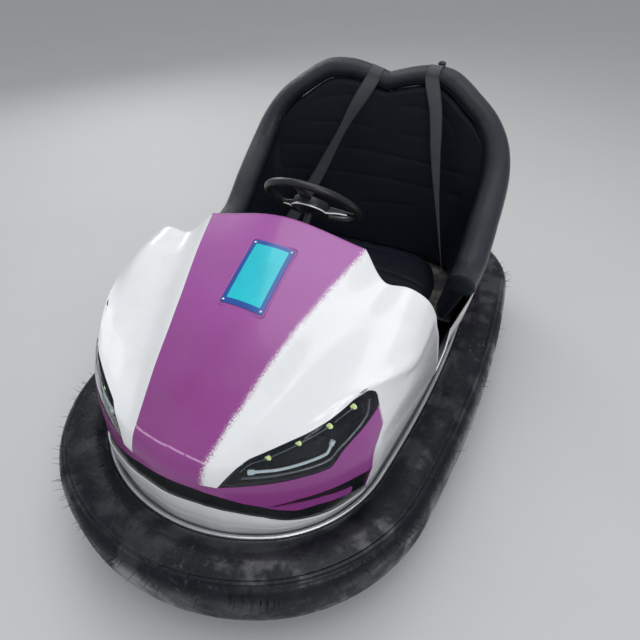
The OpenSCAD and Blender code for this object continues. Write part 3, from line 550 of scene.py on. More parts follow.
def mirrored(obj, name):
    twin = obj.copy()
    twin.data = obj.data.copy()
    twin.name = twin.data.name = name
    bpy.context.scene.collection.objects.link(twin)
    twin.data.transform(Matrix.Scale(-1, 4, (1, 0, 0)))
    outward(twin)
    return twin


# Lofts, as the solids have them

RING_HALF_W, RING_HALF_L, SIDE_R = 520, 880, 4000
FRONT_ARC, REAR_ARC, FRONT_CORNER, REAR_CORNER = 30, 25, 83, 82
TYRE_Z, TYRE_REACH, TYRE_HALF_H, RIM_INSET, TRIM_H, TRIM_W = 179, 86, 86, 54, 18, 13
RIM_TOP, BASE_INSET, SHELL_T = TYRE_Z + 45, 76, 4
STRIPE_W, COWL_Z, CHIN_Z, LIP_Z = 242, 773, 397, 304
DECK_Z, BACK_PAD_T = 322, 42


def sin(a):
    return math.sin(math.radians(a))


def cos(a):
    return math.cos(math.radians(a))


def arc_radii(t1, t2):
    ra, rb = RING_HALF_W - SIDE_R * (1 - sin(t2)), RING_HALF_L - SIDE_R * cos(t2)
    ka, kb = sin(t2) - sin(t1), cos(t1) - cos(t2)
    det = sin(t1) * kb - ka * (1 - cos(t1))
    return (ra * kb - ka * rb) / det, (sin(t1) * rb - (1 - cos(t1)) * ra) / det


def ring_point(a, inset):
    if a > 180:
        x, y = ring_point(360 - a, inset)
        return -x, y
    front = a <= 90
    t1, t2 = (FRONT_ARC, FRONT_CORNER) if front else (REAR_ARC, REAR_CORNER)
    radii = arc_radii(t1, t2)
    b = a if front else 180 - a
    end = np.array([0, radii[0] - RING_HALF_L])
    if b < t1:
        centre, radius = end, radii[0]
    elif b < t2:
        centre, radius = end + (radii[0] - radii[1]) * np.array([sin(t1), -cos(t1)]), radii[1]
    else:
        centre, radius = np.array([RING_HALF_W - SIDE_R, 0]), SIDE_R
    x, y = centre + (radius - inset) * np.array([sin(b), -cos(b)])
    return x, y if front else -y


def ring_xyz(a, inset, z):
    x, y = ring_point(a, inset)
    return np.array([x, y, z], float)


def smooth(points, steps, sharp=()):
    """Curve through points with a number of steps between two; it may kink at the sharp ones."""
    p = np.asarray(points, float)
    n = len(p) - 1
    size = np.linalg.norm

    def slope(i, side):
        if i == 0 or (i in sharp and side > 0):
            i, j = i, i + 1
        elif i == n or i in sharp:
            i, j = i - 1, i
        else:
            return (p[i + 1] - p[i - 1]) / max(size(p[i + 1] - p[i]) + size(p[i] - p[i - 1]), 0.001)
        return (p[j] - p[i]) / max(size(p[j] - p[i]), 0.001)

    line = []
    for i in range(n):
        d = size(p[i + 1] - p[i])
        m0, m1 = slope(i, 1) * d, slope(i + 1, -1) * d
        for k in range(steps):
            t = k / steps
            t2, t3 = t * t, t ** 3
            line.append(p[i] * (2 * t3 - 3 * t2 + 1) + m0 * (t3 - 2 * t2 + t)
                        + p[i + 1] * (3 * t2 - 2 * t3) + m1 * (t3 - t2))
    return np.array(line + [p[n]])


def loft(ribs, rib_steps, cross_steps, sharp_knots=(), sharp_ribs=()):
    """Grid of points through ribs: fine along each rib, then smooth from rib to rib."""
    fine = [smooth(r, rib_steps, sharp_knots) for r in ribs]
    rows = [smooth([r[k] for r in fine], cross_steps, sharp_ribs) for k in range(len(fine[0]))]
    return np.array(rows).transpose(1, 0, 2)


def both_sides(half):
    half = np.asarray(half, float)
    return np.concatenate([half[:0:-1] * [-1, 1, 1], half])


def normals(g):
    n, m = g.shape[:2]
    i, j = np.arange(n), np.arange(m)
    du = g[np.minimum(i + 1, n - 1)] - g[np.maximum(i - 1, 0)]
    dv = g[:, np.minimum(j + 1, m - 1)] - g[:, np.maximum(j - 1, 0)]
    c = np.cross(dv, du)
    size = np.linalg.norm(c, axis=2, keepdims=True)
    return np.where(size < 1e-6, [0.0, 0, 1], c / np.maximum(size, 1e-9))


def offset(g, d):
    return g + np.asarray(d)[..., None] * normals(g) if np.ndim(d) else g + d * normals(g)


def lifted(g, z):
    """Grid with nothing below a height."""
    g = g.copy()
    g[..., 2] = np.maximum(g[..., 2], z)
    return g


def grid_solid(name, top, under):
    """Closed solid between two grids of points."""
    n, m = top.shape[:2]
    points = np.concatenate([top.reshape(-1, 3), under.reshape(-1, 3)])

    def at(i, j, s):
        return s * n * m + i * m + j

    faces = [(at(i, j, 0), at(i, j + 1, 0), at(i + 1, j + 1, 0), at(i + 1, j, 0))
             for i in range(n - 1) for j in range(m - 1)]
    faces += [(at(i, j, 1), at(i + 1, j, 1), at(i + 1, j + 1, 1), at(i, j + 1, 1))
              for i in range(n - 1) for j in range(m - 1)]
    faces += [(at(i, 0, 0), at(i + 1, 0, 0), at(i + 1, 0, 1), at(i, 0, 1)) for i in range(n - 1)]
    faces += [(at(i + 1, m - 1, 0), at(i, m - 1, 0), at(i, m - 1, 1), at(i + 1, m - 1, 1))
              for i in range(n - 1)]
    faces += [(at(0, j + 1, 0), at(0, j, 0), at(0, j, 1), at(0, j + 1, 1)) for j in range(m - 1)]
    faces += [(at(n - 1, j, 0), at(n - 1, j + 1, 0), at(n - 1, j + 1, 1), at(n - 1, j, 1))
              for j in range(m - 1)]
    return mesh_piece(name, points, faces)


def tube(name, rings, closed_ends=True, loop=False):
    """Skin over rings of points; the rings may close on themselves."""
    n, m = len(rings), len(rings[0])
    points = np.asarray(rings, float).reshape(-1, 3)
    faces = [(i * m + k, (i + 1) % n * m + k, (i + 1) % n * m + (k + 1) % m, i * m + (k + 1) % m)
             for i in range(n if loop else n - 1) for k in range(m)]
    if closed_ends and not loop:
        faces += [tuple(range(m)), tuple((n - 1) * m + k for k in range(m - 1, -1, -1))]
    return mesh_piece(name, points, faces)


def wire(name, line, radius, sides=8, loop=False):
    """Round wire along a line; the radius may be a list, one for each point."""
    line = np.asarray(line, float)
    n = len(line)
    radii = np.broadcast_to(radius, n)
    rings = []
    aside = np.array([0.13, 0.21, 0.97])
    for i in range(n):
        ends = (i - 1, (i + 1) % n) if loop else (max(i - 1, 0), min(i + 1, n - 1))
        t = (line[ends[1]] - line[ends[0]]) / np.linalg.norm(line[ends[1]] - line[ends[0]])
        u = np.cross(aside, t)
        u /= np.linalg.norm(u)
        v = np.cross(t, u)
        aside = v
        rings.append([line[i] + radii[i] * (cos(360 * k / sides) * u + sin(360 * k / sides) * v)
                      for k in range(sides)])
    return tube(name, rings, loop=loop)


def sheet_of(name, grid):
    """Open sheet over a grid of points, facing the way the grid's normals point."""
    n, m = grid.shape[:2]
    faces = [(i * m + j, i * m + j + 1, (i + 1) * m + j + 1, (i + 1) * m + j)
             for i in range(n - 1) for j in range(m - 1)]
    mesh = bpy.data.meshes.new(name)
    mesh.from_pydata([tuple(map(float, q)) for q in grid.reshape(-1, 3) * MM], [], faces)
    obj = bpy.data.objects.new(name, mesh)
    bpy.context.scene.collection.objects.link(obj)
    return obj


def inside(outline, a, b):
    hit = False
    for (a0, b0), (a1, b1) in zip(outline, outline[1:] + outline[:1]):
        if (b0 > b) != (b1 > b) and a < (a1 - a0) * (b - b0) / (b1 - b0) + a0:
            hit = not hit
    return hit


def scribe(work, outline, axes, reach):
    """Cuts an outline, drawn in the view of two axes, into the faces that a test lets through."""
    i, j = axes
    for start, end in zip(outline, outline[1:] + outline[:1]):
        low = [min(start[k], end[k]) - 0.0005 for k in (0, 1)]
        high = [max(start[k], end[k]) + 0.0005 for k in (0, 1)]
        faces = []
        for face in work.faces:
            spans = [[v.co[axis] for v in face.verts] for axis in (i, j)]
            if all(max(span) > low[k] and min(span) < high[k] for k, span in enumerate(spans)) and \
                    reach(face.calc_center_median()):
                faces.append(face)
        along = Vector((0, 0, 0))
        along[i], along[j] = end[0] - start[0], end[1] - start[1]
        view = Vector((0, 0, 0))
        view[3 - i - j] = 1
        spot = Vector((0, 0, 0))
        spot[i], spot[j] = start
        parts = set(faces)
        for face in faces:
            parts.update(face.edges)
            parts.update(face.verts)
        if faces and along.length > 1e-6:
            bmesh.ops.bisect_plane(work, geom=list(parts), dist=1e-6, plane_co=spot,
                                   plane_no=along.cross(view).normalized())


def trim_sheet(obj, outlines, axes, reach, keep):
    """Scribes outlines into a sheet and drops the faces of its first slot that the keep test turns down."""
    with opened(obj) as work:
        for outline in outlines:
            scribe(work, outline, axes, reach)
        work.normal_update()
        dropped = [f for f in work.faces
                   if not f.material_index and not keep(f.calc_center_median(), f.normal)]
        bmesh.ops.delete(work, geom=dropped, context="FACES")
    return obj


def metres(outline, flip=1):
    return [(flip * x * MM, z * MM) for x, z in outline]


# Front body

def at(x, back, z):
    return np.array([x, back - RING_HALF_L, z], float)


FRONT_RIBS = [
    (0, (0, 702, COWL_Z), (0, 540, 708), (0, 320, 598), (118, 470), (90, 432), (80, CHIN_Z), (70, LIP_Z)),
    (12.5, (STRIPE_W, 700, 733), (206, 550, 682), (155, 330, 582), (112, 463), (89, 427), (80, CHIN_Z - 10),
     (70, LIP_Z - 2)),
    (18, (312, 661, 675), (276, 530, 645), (215, 320, 550), (108, 458), (88, 422), (79, CHIN_Z - 20),
     (69, LIP_Z - 6)),
    (34, (382, 656, 679), (384, 520, 648), (346, 372, 584), (102, 503), (82, 424), (73, CHIN_Z - 62),
     (64, LIP_Z - 22)),
    (52, (430, 658, 657), (434, 545, 630), (402, 424, 598), (106, 546), (72, 444), (64, CHIN_Z - 86),
     (66, LIP_Z - 36)),
    (70, (452, 672, 610), (456, 580, 600), (446, 470, 590), (100, 576), (54, 460), (54, CHIN_Z - 94),
     (64, LIP_Z - 34)),
    (76, (457, 688, 562), (460, 612, 556), (457, 528, 546), (74, 530), (50, 428), (54, CHIN_Z - 88),
     (64, LIP_Z - 30)),
    (81, (460, 722, 500), (462, 660, 490), (462, 600, 470), (54, 440), (50, 390), (54, CHIN_Z - 78),
     (64, LIP_Z - 24)),
    (88, (457, 800, 330), (457, 790, 324), (457, 780, 318), (62, 308), (62, 298), (64, 286), (68, 272))]
SILL_ANGLE = 90 - math.degrees(math.asin(60 / SIDE_R))
# Outlines seen from the front, (x, z) in mm
LAMP_OUTLINE = [(139, 407), (162, 442), (189, 476), (225, 499), (276, 528), (318, 549), (355, 570),
                (374, 585), (387, 592), (404, 579), (417, 534), (407, 519), (391, 500), (377, 480),
                (366, 454), (358, 445), (320, 439), (252, 428), (179, 413)]
MOUTH_OUTLINE = [(0, LIP_Z + 30), (93, LIP_Z + 29), (132, LIP_Z + 27), (167, LIP_Z + 21), (237, LIP_Z + 8),
                 (285, LIP_Z - 11), (350, LIP_Z - 34), (410, LIP_Z - 54), (418, 300), (428, 370),
                 (400, 372), (355, 372), (305, CHIN_Z - 31), (279, CHIN_Z - 39), (240, CHIN_Z - 48),
                 (192, CHIN_Z - 36), (141, CHIN_Z - 17), (98, CHIN_Z - 9), (0, CHIN_Z)]
FIN_OUTLINE = [(215, 358), (262, 346), (289, 350), (355, 348), (398, 333), (395, 315), (343, 328),
               (302, 324), (262, 338)]
FRONT_VIEW, SIDE_VIEW = (0, 2), (1, 2)
NOSE_BACK = -0.46
CROSS, ALONG = 8, 6
BROW_ROW = 3 * ALONG - 2  # rows of the loft from the cowl to the brow's crest


CREST_UP, CREST_AHEAD = 0.6, -0.38


def on_crest(normal):
    """The strip behind the brow faces up: it stays white however the lamp's outline falls across it."""
    return normal.z > CREST_UP and normal.y > CREST_AHEAD


def front_grid():
    ribs = [[at(*r[i]) for i in (1, 2, 3)] + [ring_xyz(r[0], *r[i]) for i in (4, 5, 6, 7)]
            + [ring_xyz(r[0], BASE_INSET, RIM_TOP)] for r in FRONT_RIBS]
    foot, edge = ring_xyz(SILL_ANGLE, BASE_INSET, RIM_TOP), ring_xyz(SILL_ANGLE, 64, 268)
    ribs.append([edge + (foot - edge) * k / 7 for k in range(8)])
    return loft(both_sides(ribs), ALONG, CROSS, (5,), (8, 10))


def smooth_outline(outline, steps=4, sharp=()):
    """Closed outline drawn through its points, with corners kept at the sharp ones."""
    n = len(outline)
    wrapped = [outline[(i - 1) % n] for i in range(n + 3)]
    line = smooth(wrapped, steps, {i + 1 for i in sharp} | ({n + 1} if 0 in sharp else set()))
    return [tuple(q) for q in line[steps:steps * (n + 1)]]


def moved_in(outline, d):
    """Outline moved inwards by a distance, whichever way it runs."""
    q = np.asarray(outline, float)
    ahead, behind = np.roll(q, -1, 0) - q, q - np.roll(q, 1, 0)
    turn = np.sign(np.sum(q[:, 0] * np.roll(q[:, 1], -1) - np.roll(q[:, 0], -1) * q[:, 1]))

    def inward(e):
        e = e / np.maximum(np.linalg.norm(e, axis=1, keepdims=True), 1e-6)
        return turn * np.stack([-e[:, 1], e[:, 0]], 1)

    na, nb = inward(behind), inward(ahead)
    dot = np.maximum(np.sum(na * nb, 1, keepdims=True), -0.6)
    return [tuple(p) for p in q + d * (na + nb) / (1 + dot)]


BEAD_R, BEAD_SHIFT = 2.4, [0, 0.8, -1.2]  # rolled edge of the cowl


def in_front(spot):
    return spot.y < NOSE_BACK


def build_front(paint):
    """The shell with its lamp openings and mouth, the fins left standing across the mouth's corners."""
    grid = front_grid()
    shell = sheet_of("front_shell", grid)
    rows = grid.shape[1] - 1
    for k, face in enumerate(shell.data.polygons):
        face.material_index = int(k % rows < BROW_ROW)
    lamp_line = smooth_outline(LAMP_OUTLINE, 3, (0, 8, 10))
    mouth = metres(MOUTH_OUTLINE + [(-x, z) for x, z in MOUTH_OUTLINE[-2:0:-1]])
    lamps, fins = [metres(lamp_line, f) for f in (1, -1)], [metres(FIN_OUTLINE, f) for f in (1, -1)]

    def keep(spot, normal):
        if not in_front(spot) or on_crest(normal):
            return True
        if any(inside(line, spot.x, spot.z) for line in lamps):
            return False
        return not inside(mouth, spot.x, spot.z) or any(inside(fin, spot.x, spot.z) for fin in fins)

    trim_sheet(shell, lamps + [mouth] + fins, FRONT_VIEW, in_front, keep)
    apply(shell, "SOLIDIFY", thickness=SHELL_T * MM, offset=-1)
    for face in shell.data.polygons:
        face.material_index = 0
    dress(shell, paint, slot="body_shell", stands_for=("front_body",), degrees=32)
    return grid, lamp_line


# Each lamp in mm: the glass's gap and depth behind the shell, the bowl's inset and depth, its rim's depth
LENS_GAP, LENS_DEPTH, BOWL_INSET, BOWL_DEPTH, RIM_DEPTH, RIM_BORDER = 0.6, 0.8, 7, 34, 5.4, 3
# In metres: the walls of bowl and rim, the brow's height and the fall to it over which the rim's wall ends
LENS_T, BOWL_WALL, RIM_WALL, BROW_Z, BROW_FALL, WALL_LEAST = 0.003, -0.0285, 0.036, 0.594, 0.04, 0.08


def lamp_sheet(name, grid, outline, depth):
    """Piece of the body's surface inside the lamp's outline, moved back by a depth."""
    sheet = sheet_of(name, grid + [0, depth, 0])
    line = metres(outline)
    return trim_sheet(sheet, [line], FRONT_VIEW, lambda q: True,
                      lambda q, normal: not on_crest(normal) and inside(line, q.x, q.z))


def skirt(work, ring_edges, depth, under_brow=False):
    """Pulls a sheet's edge straight back as a wall, which may get shorter towards the brow."""
    wall = bmesh.ops.extrude_edge_only(work, edges=ring_edges)["geom"]
    verts = [v for v in wall if isinstance(v, bmesh.types.BMVert)]
    for vert in verts:
        share = min(1, max(WALL_LEAST, (BROW_Z - vert.co.z) / BROW_FALL))
        vert.co.y += depth * (share if under_brow else 1)


def lamp_bowl(name, grid, outline):
    """Tray behind the glass: its floor follows the glass, its wall stands round the opening."""
    floor = lamp_sheet(name, grid, moved_in(outline, BOWL_INSET), BOWL_DEPTH)
    with opened(floor) as work:
        skirt(work, [e for e in work.edges if e.is_boundary], BOWL_WALL)
    rim = lamp_sheet(name + "_rim", grid, moved_in(outline, LENS_GAP), RIM_DEPTH)
    line = metres(moved_in(outline, BOWL_INSET))
    trim_sheet(rim, [line], FRONT_VIEW, lambda q: True, lambda q, normal: not inside(line, q.x, q.z))
    border = metres(moved_in(outline, RIM_BORDER))

    def on_outside(edge):
        middle = (edge.verts[0].co + edge.verts[1].co) / 2
        return edge.is_boundary and not inside(border, middle.x, middle.z)

    with opened(rim) as work:
        skirt(work, [e for e in work.edges if on_outside(e)], RIM_WALL, under_brow=True)
    bowl = join(name, [floor, rim])
    with opened(bowl) as work:
        bmesh.ops.remove_doubles(work, verts=work.verts, dist=0.0002)
    return bowl


AHEAD_OF_NOSE, OVER_HOOD = -1.5, 1.2


def on_surface(tree, x, z, depth=0.0):
    """Point on the front shell seen from the front, moved straight back by a depth, in metres."""
    hit = tree.ray_cast(Vector((x, AHEAD_OF_NOSE, z)), Vector((0, 1, 0)))[0]
    return np.array(hit) + [0, depth, 0]


# Lines and spots inside the left lamp seen from the front, (x, z) in metres
LED_SPOTS = [(0.238, 0.490), (0.291, 0.520), (0.340, 0.541), (0.372, 0.563)]
BAR_LINE = [(0.200, 0.4475), (0.221, 0.4525), (0.262, 0.459), (0.305, 0.468), (0.345, 0.479), (0.350, 0.492),
            (0.353, 0.507)]
LINER_LOW = [(0.186, 0.4285), (0.25, 0.4415), (0.31, 0.4515), (0.352, 0.462), (0.366, 0.482), (0.385, 0.506),
             (0.399, 0.531), (0.396, 0.563)]
LINER_HIGH = [(0.182, 0.446), (0.205, 0.472), (0.235, 0.4885), (0.28, 0.5125), (0.33, 0.537), (0.375, 0.563)]
LED_R, LED_DEPTH, STEM_R, STEM_L = 0.0086, 0.016, 0.010, 0.024
BAR_DEPTH, BAR_R, BAR_END_R = 0.013, 3.3, 6.0
LINER_DEPTH, LINER_LOW_R, LINER_HIGH_R = 0.012, 2.6, 1.3


def diode(spot):
    """One lit diode, flattened like a button, and the bezel that it sits in."""
    bpy.ops.mesh.primitive_uv_sphere_add(segments=20, ring_count=10, radius=LED_R)
    led = bpy.context.object
    led.scale = (1, 0.55, 1)
    led.location = spot
    settle(led)
    bpy.ops.mesh.primitive_cylinder_add(vertices=20, radius=STEM_R, depth=STEM_L)
    stem = bpy.context.object
    stem.rotation_euler = (math.radians(90), 0, 0)
    stem.location = spot + [0, STEM_L / 2 + 0.0015, 0]
    settle(stem)
    bpy.ops.object.mode_set(mode="EDIT")
    bpy.ops.mesh.select_all(action="SELECT")
    bpy.ops.mesh.bevel(offset=0.0015, segments=2)
    bpy.ops.object.mode_set(mode="OBJECT")
    return led, stem


def build_lamps(grid, lamp_line, tree, lens_paint, bowl_paint, led_paint, bar_paint, liner_paint):
    mid = (len(grid) - 1) // 2
    patch = grid[mid + CROSS:mid + 6 * CROSS + 1, BROW_ROW:5 * ALONG + 3]
    lens = lamp_sheet("lamp_glass_left", patch, moved_in(lamp_line, LENS_GAP), LENS_DEPTH)
    apply(lens, "SOLIDIFY", thickness=LENS_T, offset=-1)
    bowl = lamp_bowl("lamp_bowl_left", patch, lamp_line)
    leds, stems = zip(*(diode(on_surface(tree, x, z, LED_DEPTH)) for x, z in LED_SPOTS))

    def run(spots, depth):
        return smooth([on_surface(tree, x, z, depth) / MM for x, z in spots], 4)

    line = run(BAR_LINE, BAR_DEPTH)
    radii = [BAR_END_R if i < 3 or i > len(line) - 4 else BAR_R for i in range(len(line))]
    bar = wire("lamp_bar_left", line, radii, 10)
    liner = join("lamp_liner_left",
                 [wire("lamp_liner_low", run(LINER_LOW, LINER_DEPTH), LINER_LOW_R, 6),
                  wire("lamp_liner_high", run(LINER_HIGH, LINER_DEPTH), LINER_HIGH_R, 6)])
    pieces = [(lens, lens_paint, "lamp_lens", "headlamp_lens_left"),
              (bowl, bowl_paint, "lamp_housing", "headlamp_housing_left"),
              (join("lamp_leds_left", leds), led_paint, "lamp_housing", None),
              (join("lamp_stems_left", stems), bowl_paint, "lamp_housing", None),
              (bar, bar_paint, "lamp_housing", None), (liner, liner_paint, "lamp_housing", None)]
    for piece, paint, slot, node in pieces:
        twin = mirrored(piece, piece.name.replace("_left", "_right"))
        dress(piece, paint, slot=slot, stands_for=(node,) if node else ())
        dress(twin, paint, slot=slot, stands_for=(node.replace("_left", "_right"),) if node else ())


def hood_point(tree, x, y, lift=0.0):
    """Point on the hood seen from above, lifted off it, in metres."""
    hit, normal = tree.ray_cast(Vector((x, y, OVER_HOOD)), Vector((0, 0, -1)))[:2]
    return np.array(hit + normal * lift)


PLATE_CENTRE, PLATE_SIZE = (0.020, -0.355), (0.124, 0.182)
PLATE_TOP, PLATE_UNDER, PLATE_FALL = 0.0028, 0.0004, 0.0008
LIP_OUT, LIP_LIFT, LIP_CORNER, LIP_R = 0.011, 0.0006, 0.009, 1.9
SCREW_R, SCREW_INSET = 0.0034, (0.007, 0.0075)


def rounded_rectangle(width, length, radius, per_corner=5):
    points = []
    for cx, cy, start in ((1, 1, 0), (-1, 1, 90), (-1, -1, 180), (1, -1, 270)):
        for k in range(per_corner + 1):
            a = start + 90 * k / per_corner
            points.append((cx * (width / 2 - radius) + radius * cos(a),
                           cy * (length / 2 - radius) + radius * sin(a)))
    return points


def build_plate(tree, enamel, paint, screw_paint):
    """Blank plate laid on the hood, the raised lip round it and a screw in each corner."""
    (cx, cy), (width, length) = PLATE_CENTRE, PLATE_SIZE

    def spot(u, v, lift):
        return hood_point(tree, cx + u * width / 2, cy + v * length / 2, lift)

    us, vs = np.linspace(-1, 1, 17), np.linspace(-1, 1, 25)
    top = [[spot(u, v, PLATE_TOP - PLATE_FALL * (u ** 8 + v ** 8) / 2) for v in vs] for u in us]
    under = [[spot(u, v, PLATE_UNDER) for v in vs] for u in us]
    sheet = grid_solid("plate_sheet", np.array(top) / MM, np.array(under) / MM)
    dress(sheet, enamel, slot="plate", stands_for=("number_plate",))
    edge = [hood_point(tree, cx + x, cy + y, LIP_LIFT) / MM for x, y in
            rounded_rectangle(width + LIP_OUT, length + LIP_OUT, LIP_CORNER)]
    dress(wire("plate_lip", edge, LIP_R, 8, loop=True), paint, slot="body_shell")
    screws = []
    for sx in (-1, 1):
        for sy in (-1, 1):
            bpy.ops.mesh.primitive_uv_sphere_add(segments=16, ring_count=8, radius=SCREW_R)
            screw = bpy.context.object
            screw.scale = (1, 1, 0.45)
            screw.location = hood_point(tree, cx + sx * (width / 2 - SCREW_INSET[0]),
                                        cy + sy * (length / 2 - SCREW_INSET[1]), PLATE_TOP)
            screws.append(settle(screw))
    dress(join("plate_screws", screws), screw_paint, slot="bright_trim")


# Bumper ring

# Upper half of the tyre's section, as shares of its reach and half height, with a bead at 0.62
TYRE_CROWN = [(-0.50, 0.84), (-0.26, 0.95), (0.06, 1.00), (0.38, 0.99), (0.57, 0.945), (0.62, 0.97),
              (0.69, 0.955), (0.73, 0.89), (0.83, 0.84), (0.93, 0.70), (0.985, 0.50), (1.00, 0.22)]
SEAT_SHARE = 0.68
HAIRS, HAIR_LENGTH, HAIR_RADII = 230, (9, 30), [0.75, 0.6, 0.45, 0.2]
HAIR_LIFT, HAIR_SWAY, HAIR_DROOP = (0.1, 0.9), (-0.25, 0.25), 3
HAIR_ROWS = ((0.6, 0.985, 0.52), (0.8, 0.66, 0.955), (1.0, 0.9, 0.76))  # up to this share: out, up


def ring_angles(step):
    """Angles round the ring, closer together where it turns from its ends into its sides."""
    return np.concatenate([np.arange(0, 82, step), np.arange(82, 99, step / 3), np.arange(99, 262, step),
                           np.arange(262, 279, step / 3), np.arange(279, 360, step)])


def ring_sweep(name, section, step=1.5):
    """Closed section of (out from the ring's line, height) carried round the ring."""
    rings = [[(*ring_point(a, -out), z) for out, z in section] for a in ring_angles(step)]
    return tube(name, rings, loop=True)


def build_ring(rubber, bright, hair_paint):
    """Tyre, bright band on its rim and the moulding hairs that stand off the rubber."""
    crown = [(q[0] * TYRE_REACH, TYRE_Z + q[1] * TYRE_HALF_H) for q in TYRE_CROWN]
    upper = [tuple(q) for q in smooth(crown, 3, (5, 6))]
    lower = [(q[0], 2 * TYRE_Z - q[1]) for q in upper[::-1]]
    seat = [(GAP - RIM_INSET, TYRE_Z + side * SEAT_SHARE * TYRE_HALF_H) for side in (-1, 1)]
    tyre = ring_sweep("ring_tyre", seat + upper + lower)
    dress(tyre, rubber, slot="bumper_rubber", stands_for=("bumper_tyre",), degrees=40)
    inner, top, low = -RIM_INSET - TRIM_W, RIM_TOP + TRIM_H, RIM_TOP + GAP
    band = [(-RIM_INSET, low), (-RIM_INSET, top - 5), (-RIM_INSET - 2, top - 1.5), (-RIM_INSET - 5, top),
            (inner + 5, top), (inner + 1.5, top - 1.5), (inner, top - 5), (inner, low)]
    trim = ring_sweep("ring_trim", band[::-1])
    dress(trim, bright, slot="bright_trim", stands_for=("trim_band",), degrees=50)
    hairs = []
    for _ in range(HAIRS):
        a = chance.uniform(0, 360)
        row = chance.random()
        out, up = next((out, up) for share, out, up in HAIR_ROWS if row < share)
        out, z = TYRE_REACH * out, TYRE_Z + TYRE_HALF_H * up
        length = chance.uniform(*HAIR_LENGTH)
        lift, sway = chance.uniform(*HAIR_LIFT), chance.uniform(*HAIR_SWAY)
        line = []
        for t in (0.0, 0.4, 0.75, 1.0):
            x, y = ring_point((a + sway * t) % 360, -(out - 1 + length * t * math.cos(lift)))
            line.append((x, y, z + length * math.sin(lift) * t - HAIR_DROOP * t * t))
        hairs.append(wire("hair", line, HAIR_RADII, 4))
    dress(join("ring_hairs", hairs), hair_paint, slot="bumper_rubber", degrees=60)


# Seat

# The roll from its front end to the middle: half width, ahead of the ring's rear end, height, radius
ROLL_TABLE = [(455, 760, 490, 46), (458, 665, 512, 48), (456, 550, 610, 48), (450, 435, 712, 45),
              (428, 380, 790, 41), (384, 350, 858, 37), (322, 328, 910, 35), (228, 294, 966, 34),
              (150, 278, 972, 33), (87, 274, 962, 32), (0, 272, 938, 32)]
# The tub's foot on the deck under each of those places: half width, ahead of the ring's rear end
TUB_FLOOR = [(410, 735), (410, 650), (408, 570), (400, 505), (384, 450), (356, 418), (318, 400), (236, 388),
             (150, 382), (87, 380), (0, 380)]
ROLL_FLAT = 0.86  # the roll is cut flat at this share of its radius where it sits on the tub
ROLL_CAP = 8
PUCKER, PUCKER_PITCH = 0.02, 2.2
PIPING_DOWN, PIPING_IN, PIPING_R = 0.55, -0.86, 1.8


class Roll:
    """The padded roll's line with the directions along, down towards the seat and out of the cockpit."""

    def __init__(self, steps):
        self.steps = steps
        self.line = smooth([(x, RING_HALF_L - back, z, r) for x, back, z, r in ROLL_TABLE], steps)
        self.last = len(self.line) - 1

    def along(self, i):
        if i == self.last:
            return np.array([-1.0, 0, 0])
        d = self.line[min(i + 1, self.last)][:3] - self.line[max(i - 1, 0)][:3]
        return d / np.linalg.norm(d)

    def down(self, i):
        t = self.along(i)
        d = np.array([0, 0, -1]) + t[2] * t
        return d / np.linalg.norm(d)

    def out(self, i):
        return np.cross(self.down(i), self.along(i))

    def point(self, i, down, out):
        return self.line[i][:3] + down * self.down(i) + out * self.out(i)


def mirror_rings(half):
    """Rings of one side followed by their mirror images, without the middle one twice."""
    return list(half) + [[(-p[0], p[1], p[2]) for p in ring] for ring in half[-2::-1]]


def build_roll(cover, thread):
    """Padded roll round the cockpit, puckered in its bends, with piping along its inner side."""
    roll, sides = Roll(8), 30
    rings = []
    for i in range(roll.last + 1):
        r = roll.line[i][3]
        # the cover gathers in small puckers where the roll bends
        bend = 1 - abs(float(roll.along(max(i - 4, 0)) @ roll.along(min(i + 4, roll.last))))
        ring = []
        for k in range(sides):
            a = 360 * k / sides
            fold = math.sin(i * PUCKER_PITCH + 0.6 * math.sin(k)) * max(0.0, -sin(a))
            size = r * (1 + min(bend * 1.2, PUCKER) * fold)
            down = min(size * cos(a), ROLL_FLAT * r)
            ring.append(tuple(roll.point(i, down, size * sin(a))))
        rings.append(ring)
    end = np.mean(rings[0], axis=0)
    caps = [[tuple(end + (np.array(p) - end) * f - roll.along(0) * ROLL_CAP * g) for p in rings[0]]
            for f, g in ((0.15, 0.9), (0.6, 0.8), (0.9, 0.45))]
    piece = tube("roll_cover", mirror_rings(caps + rings))
    dress(piece, cover, slot="roll_cover", stands_for=("seat_roll",), degrees=50)
    seam = [tuple(roll.point(i, roll.line[i][3] * PIPING_DOWN, roll.line[i][3] * PIPING_IN))
            for i in range(2, roll.last + 1)]
    line = seam + [(-p[0], p[1], p[2]) for p in seam[-2::-1]]
    dress(wire("roll_piping", line, PIPING_R, 6), thread, slot="roll_cover", degrees=60)
    return roll


# Seams of the backrest seen from the front, (x, z) in mm
BACK_SEAMS = [
    [(-396, 697), (-173, 702), (33, 697), (209, 692), (372, 686)],
    [(-394, 604), (-167, 610), (45, 611), (232, 610), (348, 610)],
    [(-40, 505), (60, 520), (160, 530)],
    [(-280, 789), (-161, 786), (-45, 786)],
    [(-262, 866), (-240, 873), (-169, 882), (-90, 882)],
    [(80, 869), (179, 867), (234, 859), (268, 842), (290, 815), (299, 777)],
    [(78, 774), (195, 775), (299, 777)]]


SEAM_DEPTH, SEAM_HALF_W, FALL_DEPTH, FALL_HALF_W = 1.9, 2.4, 1.0, 14.0
QUILT_RISE, QUILT_LOW, QUILT_HEIGHT, TUB_T = 3.0, 330, 610, 5.5


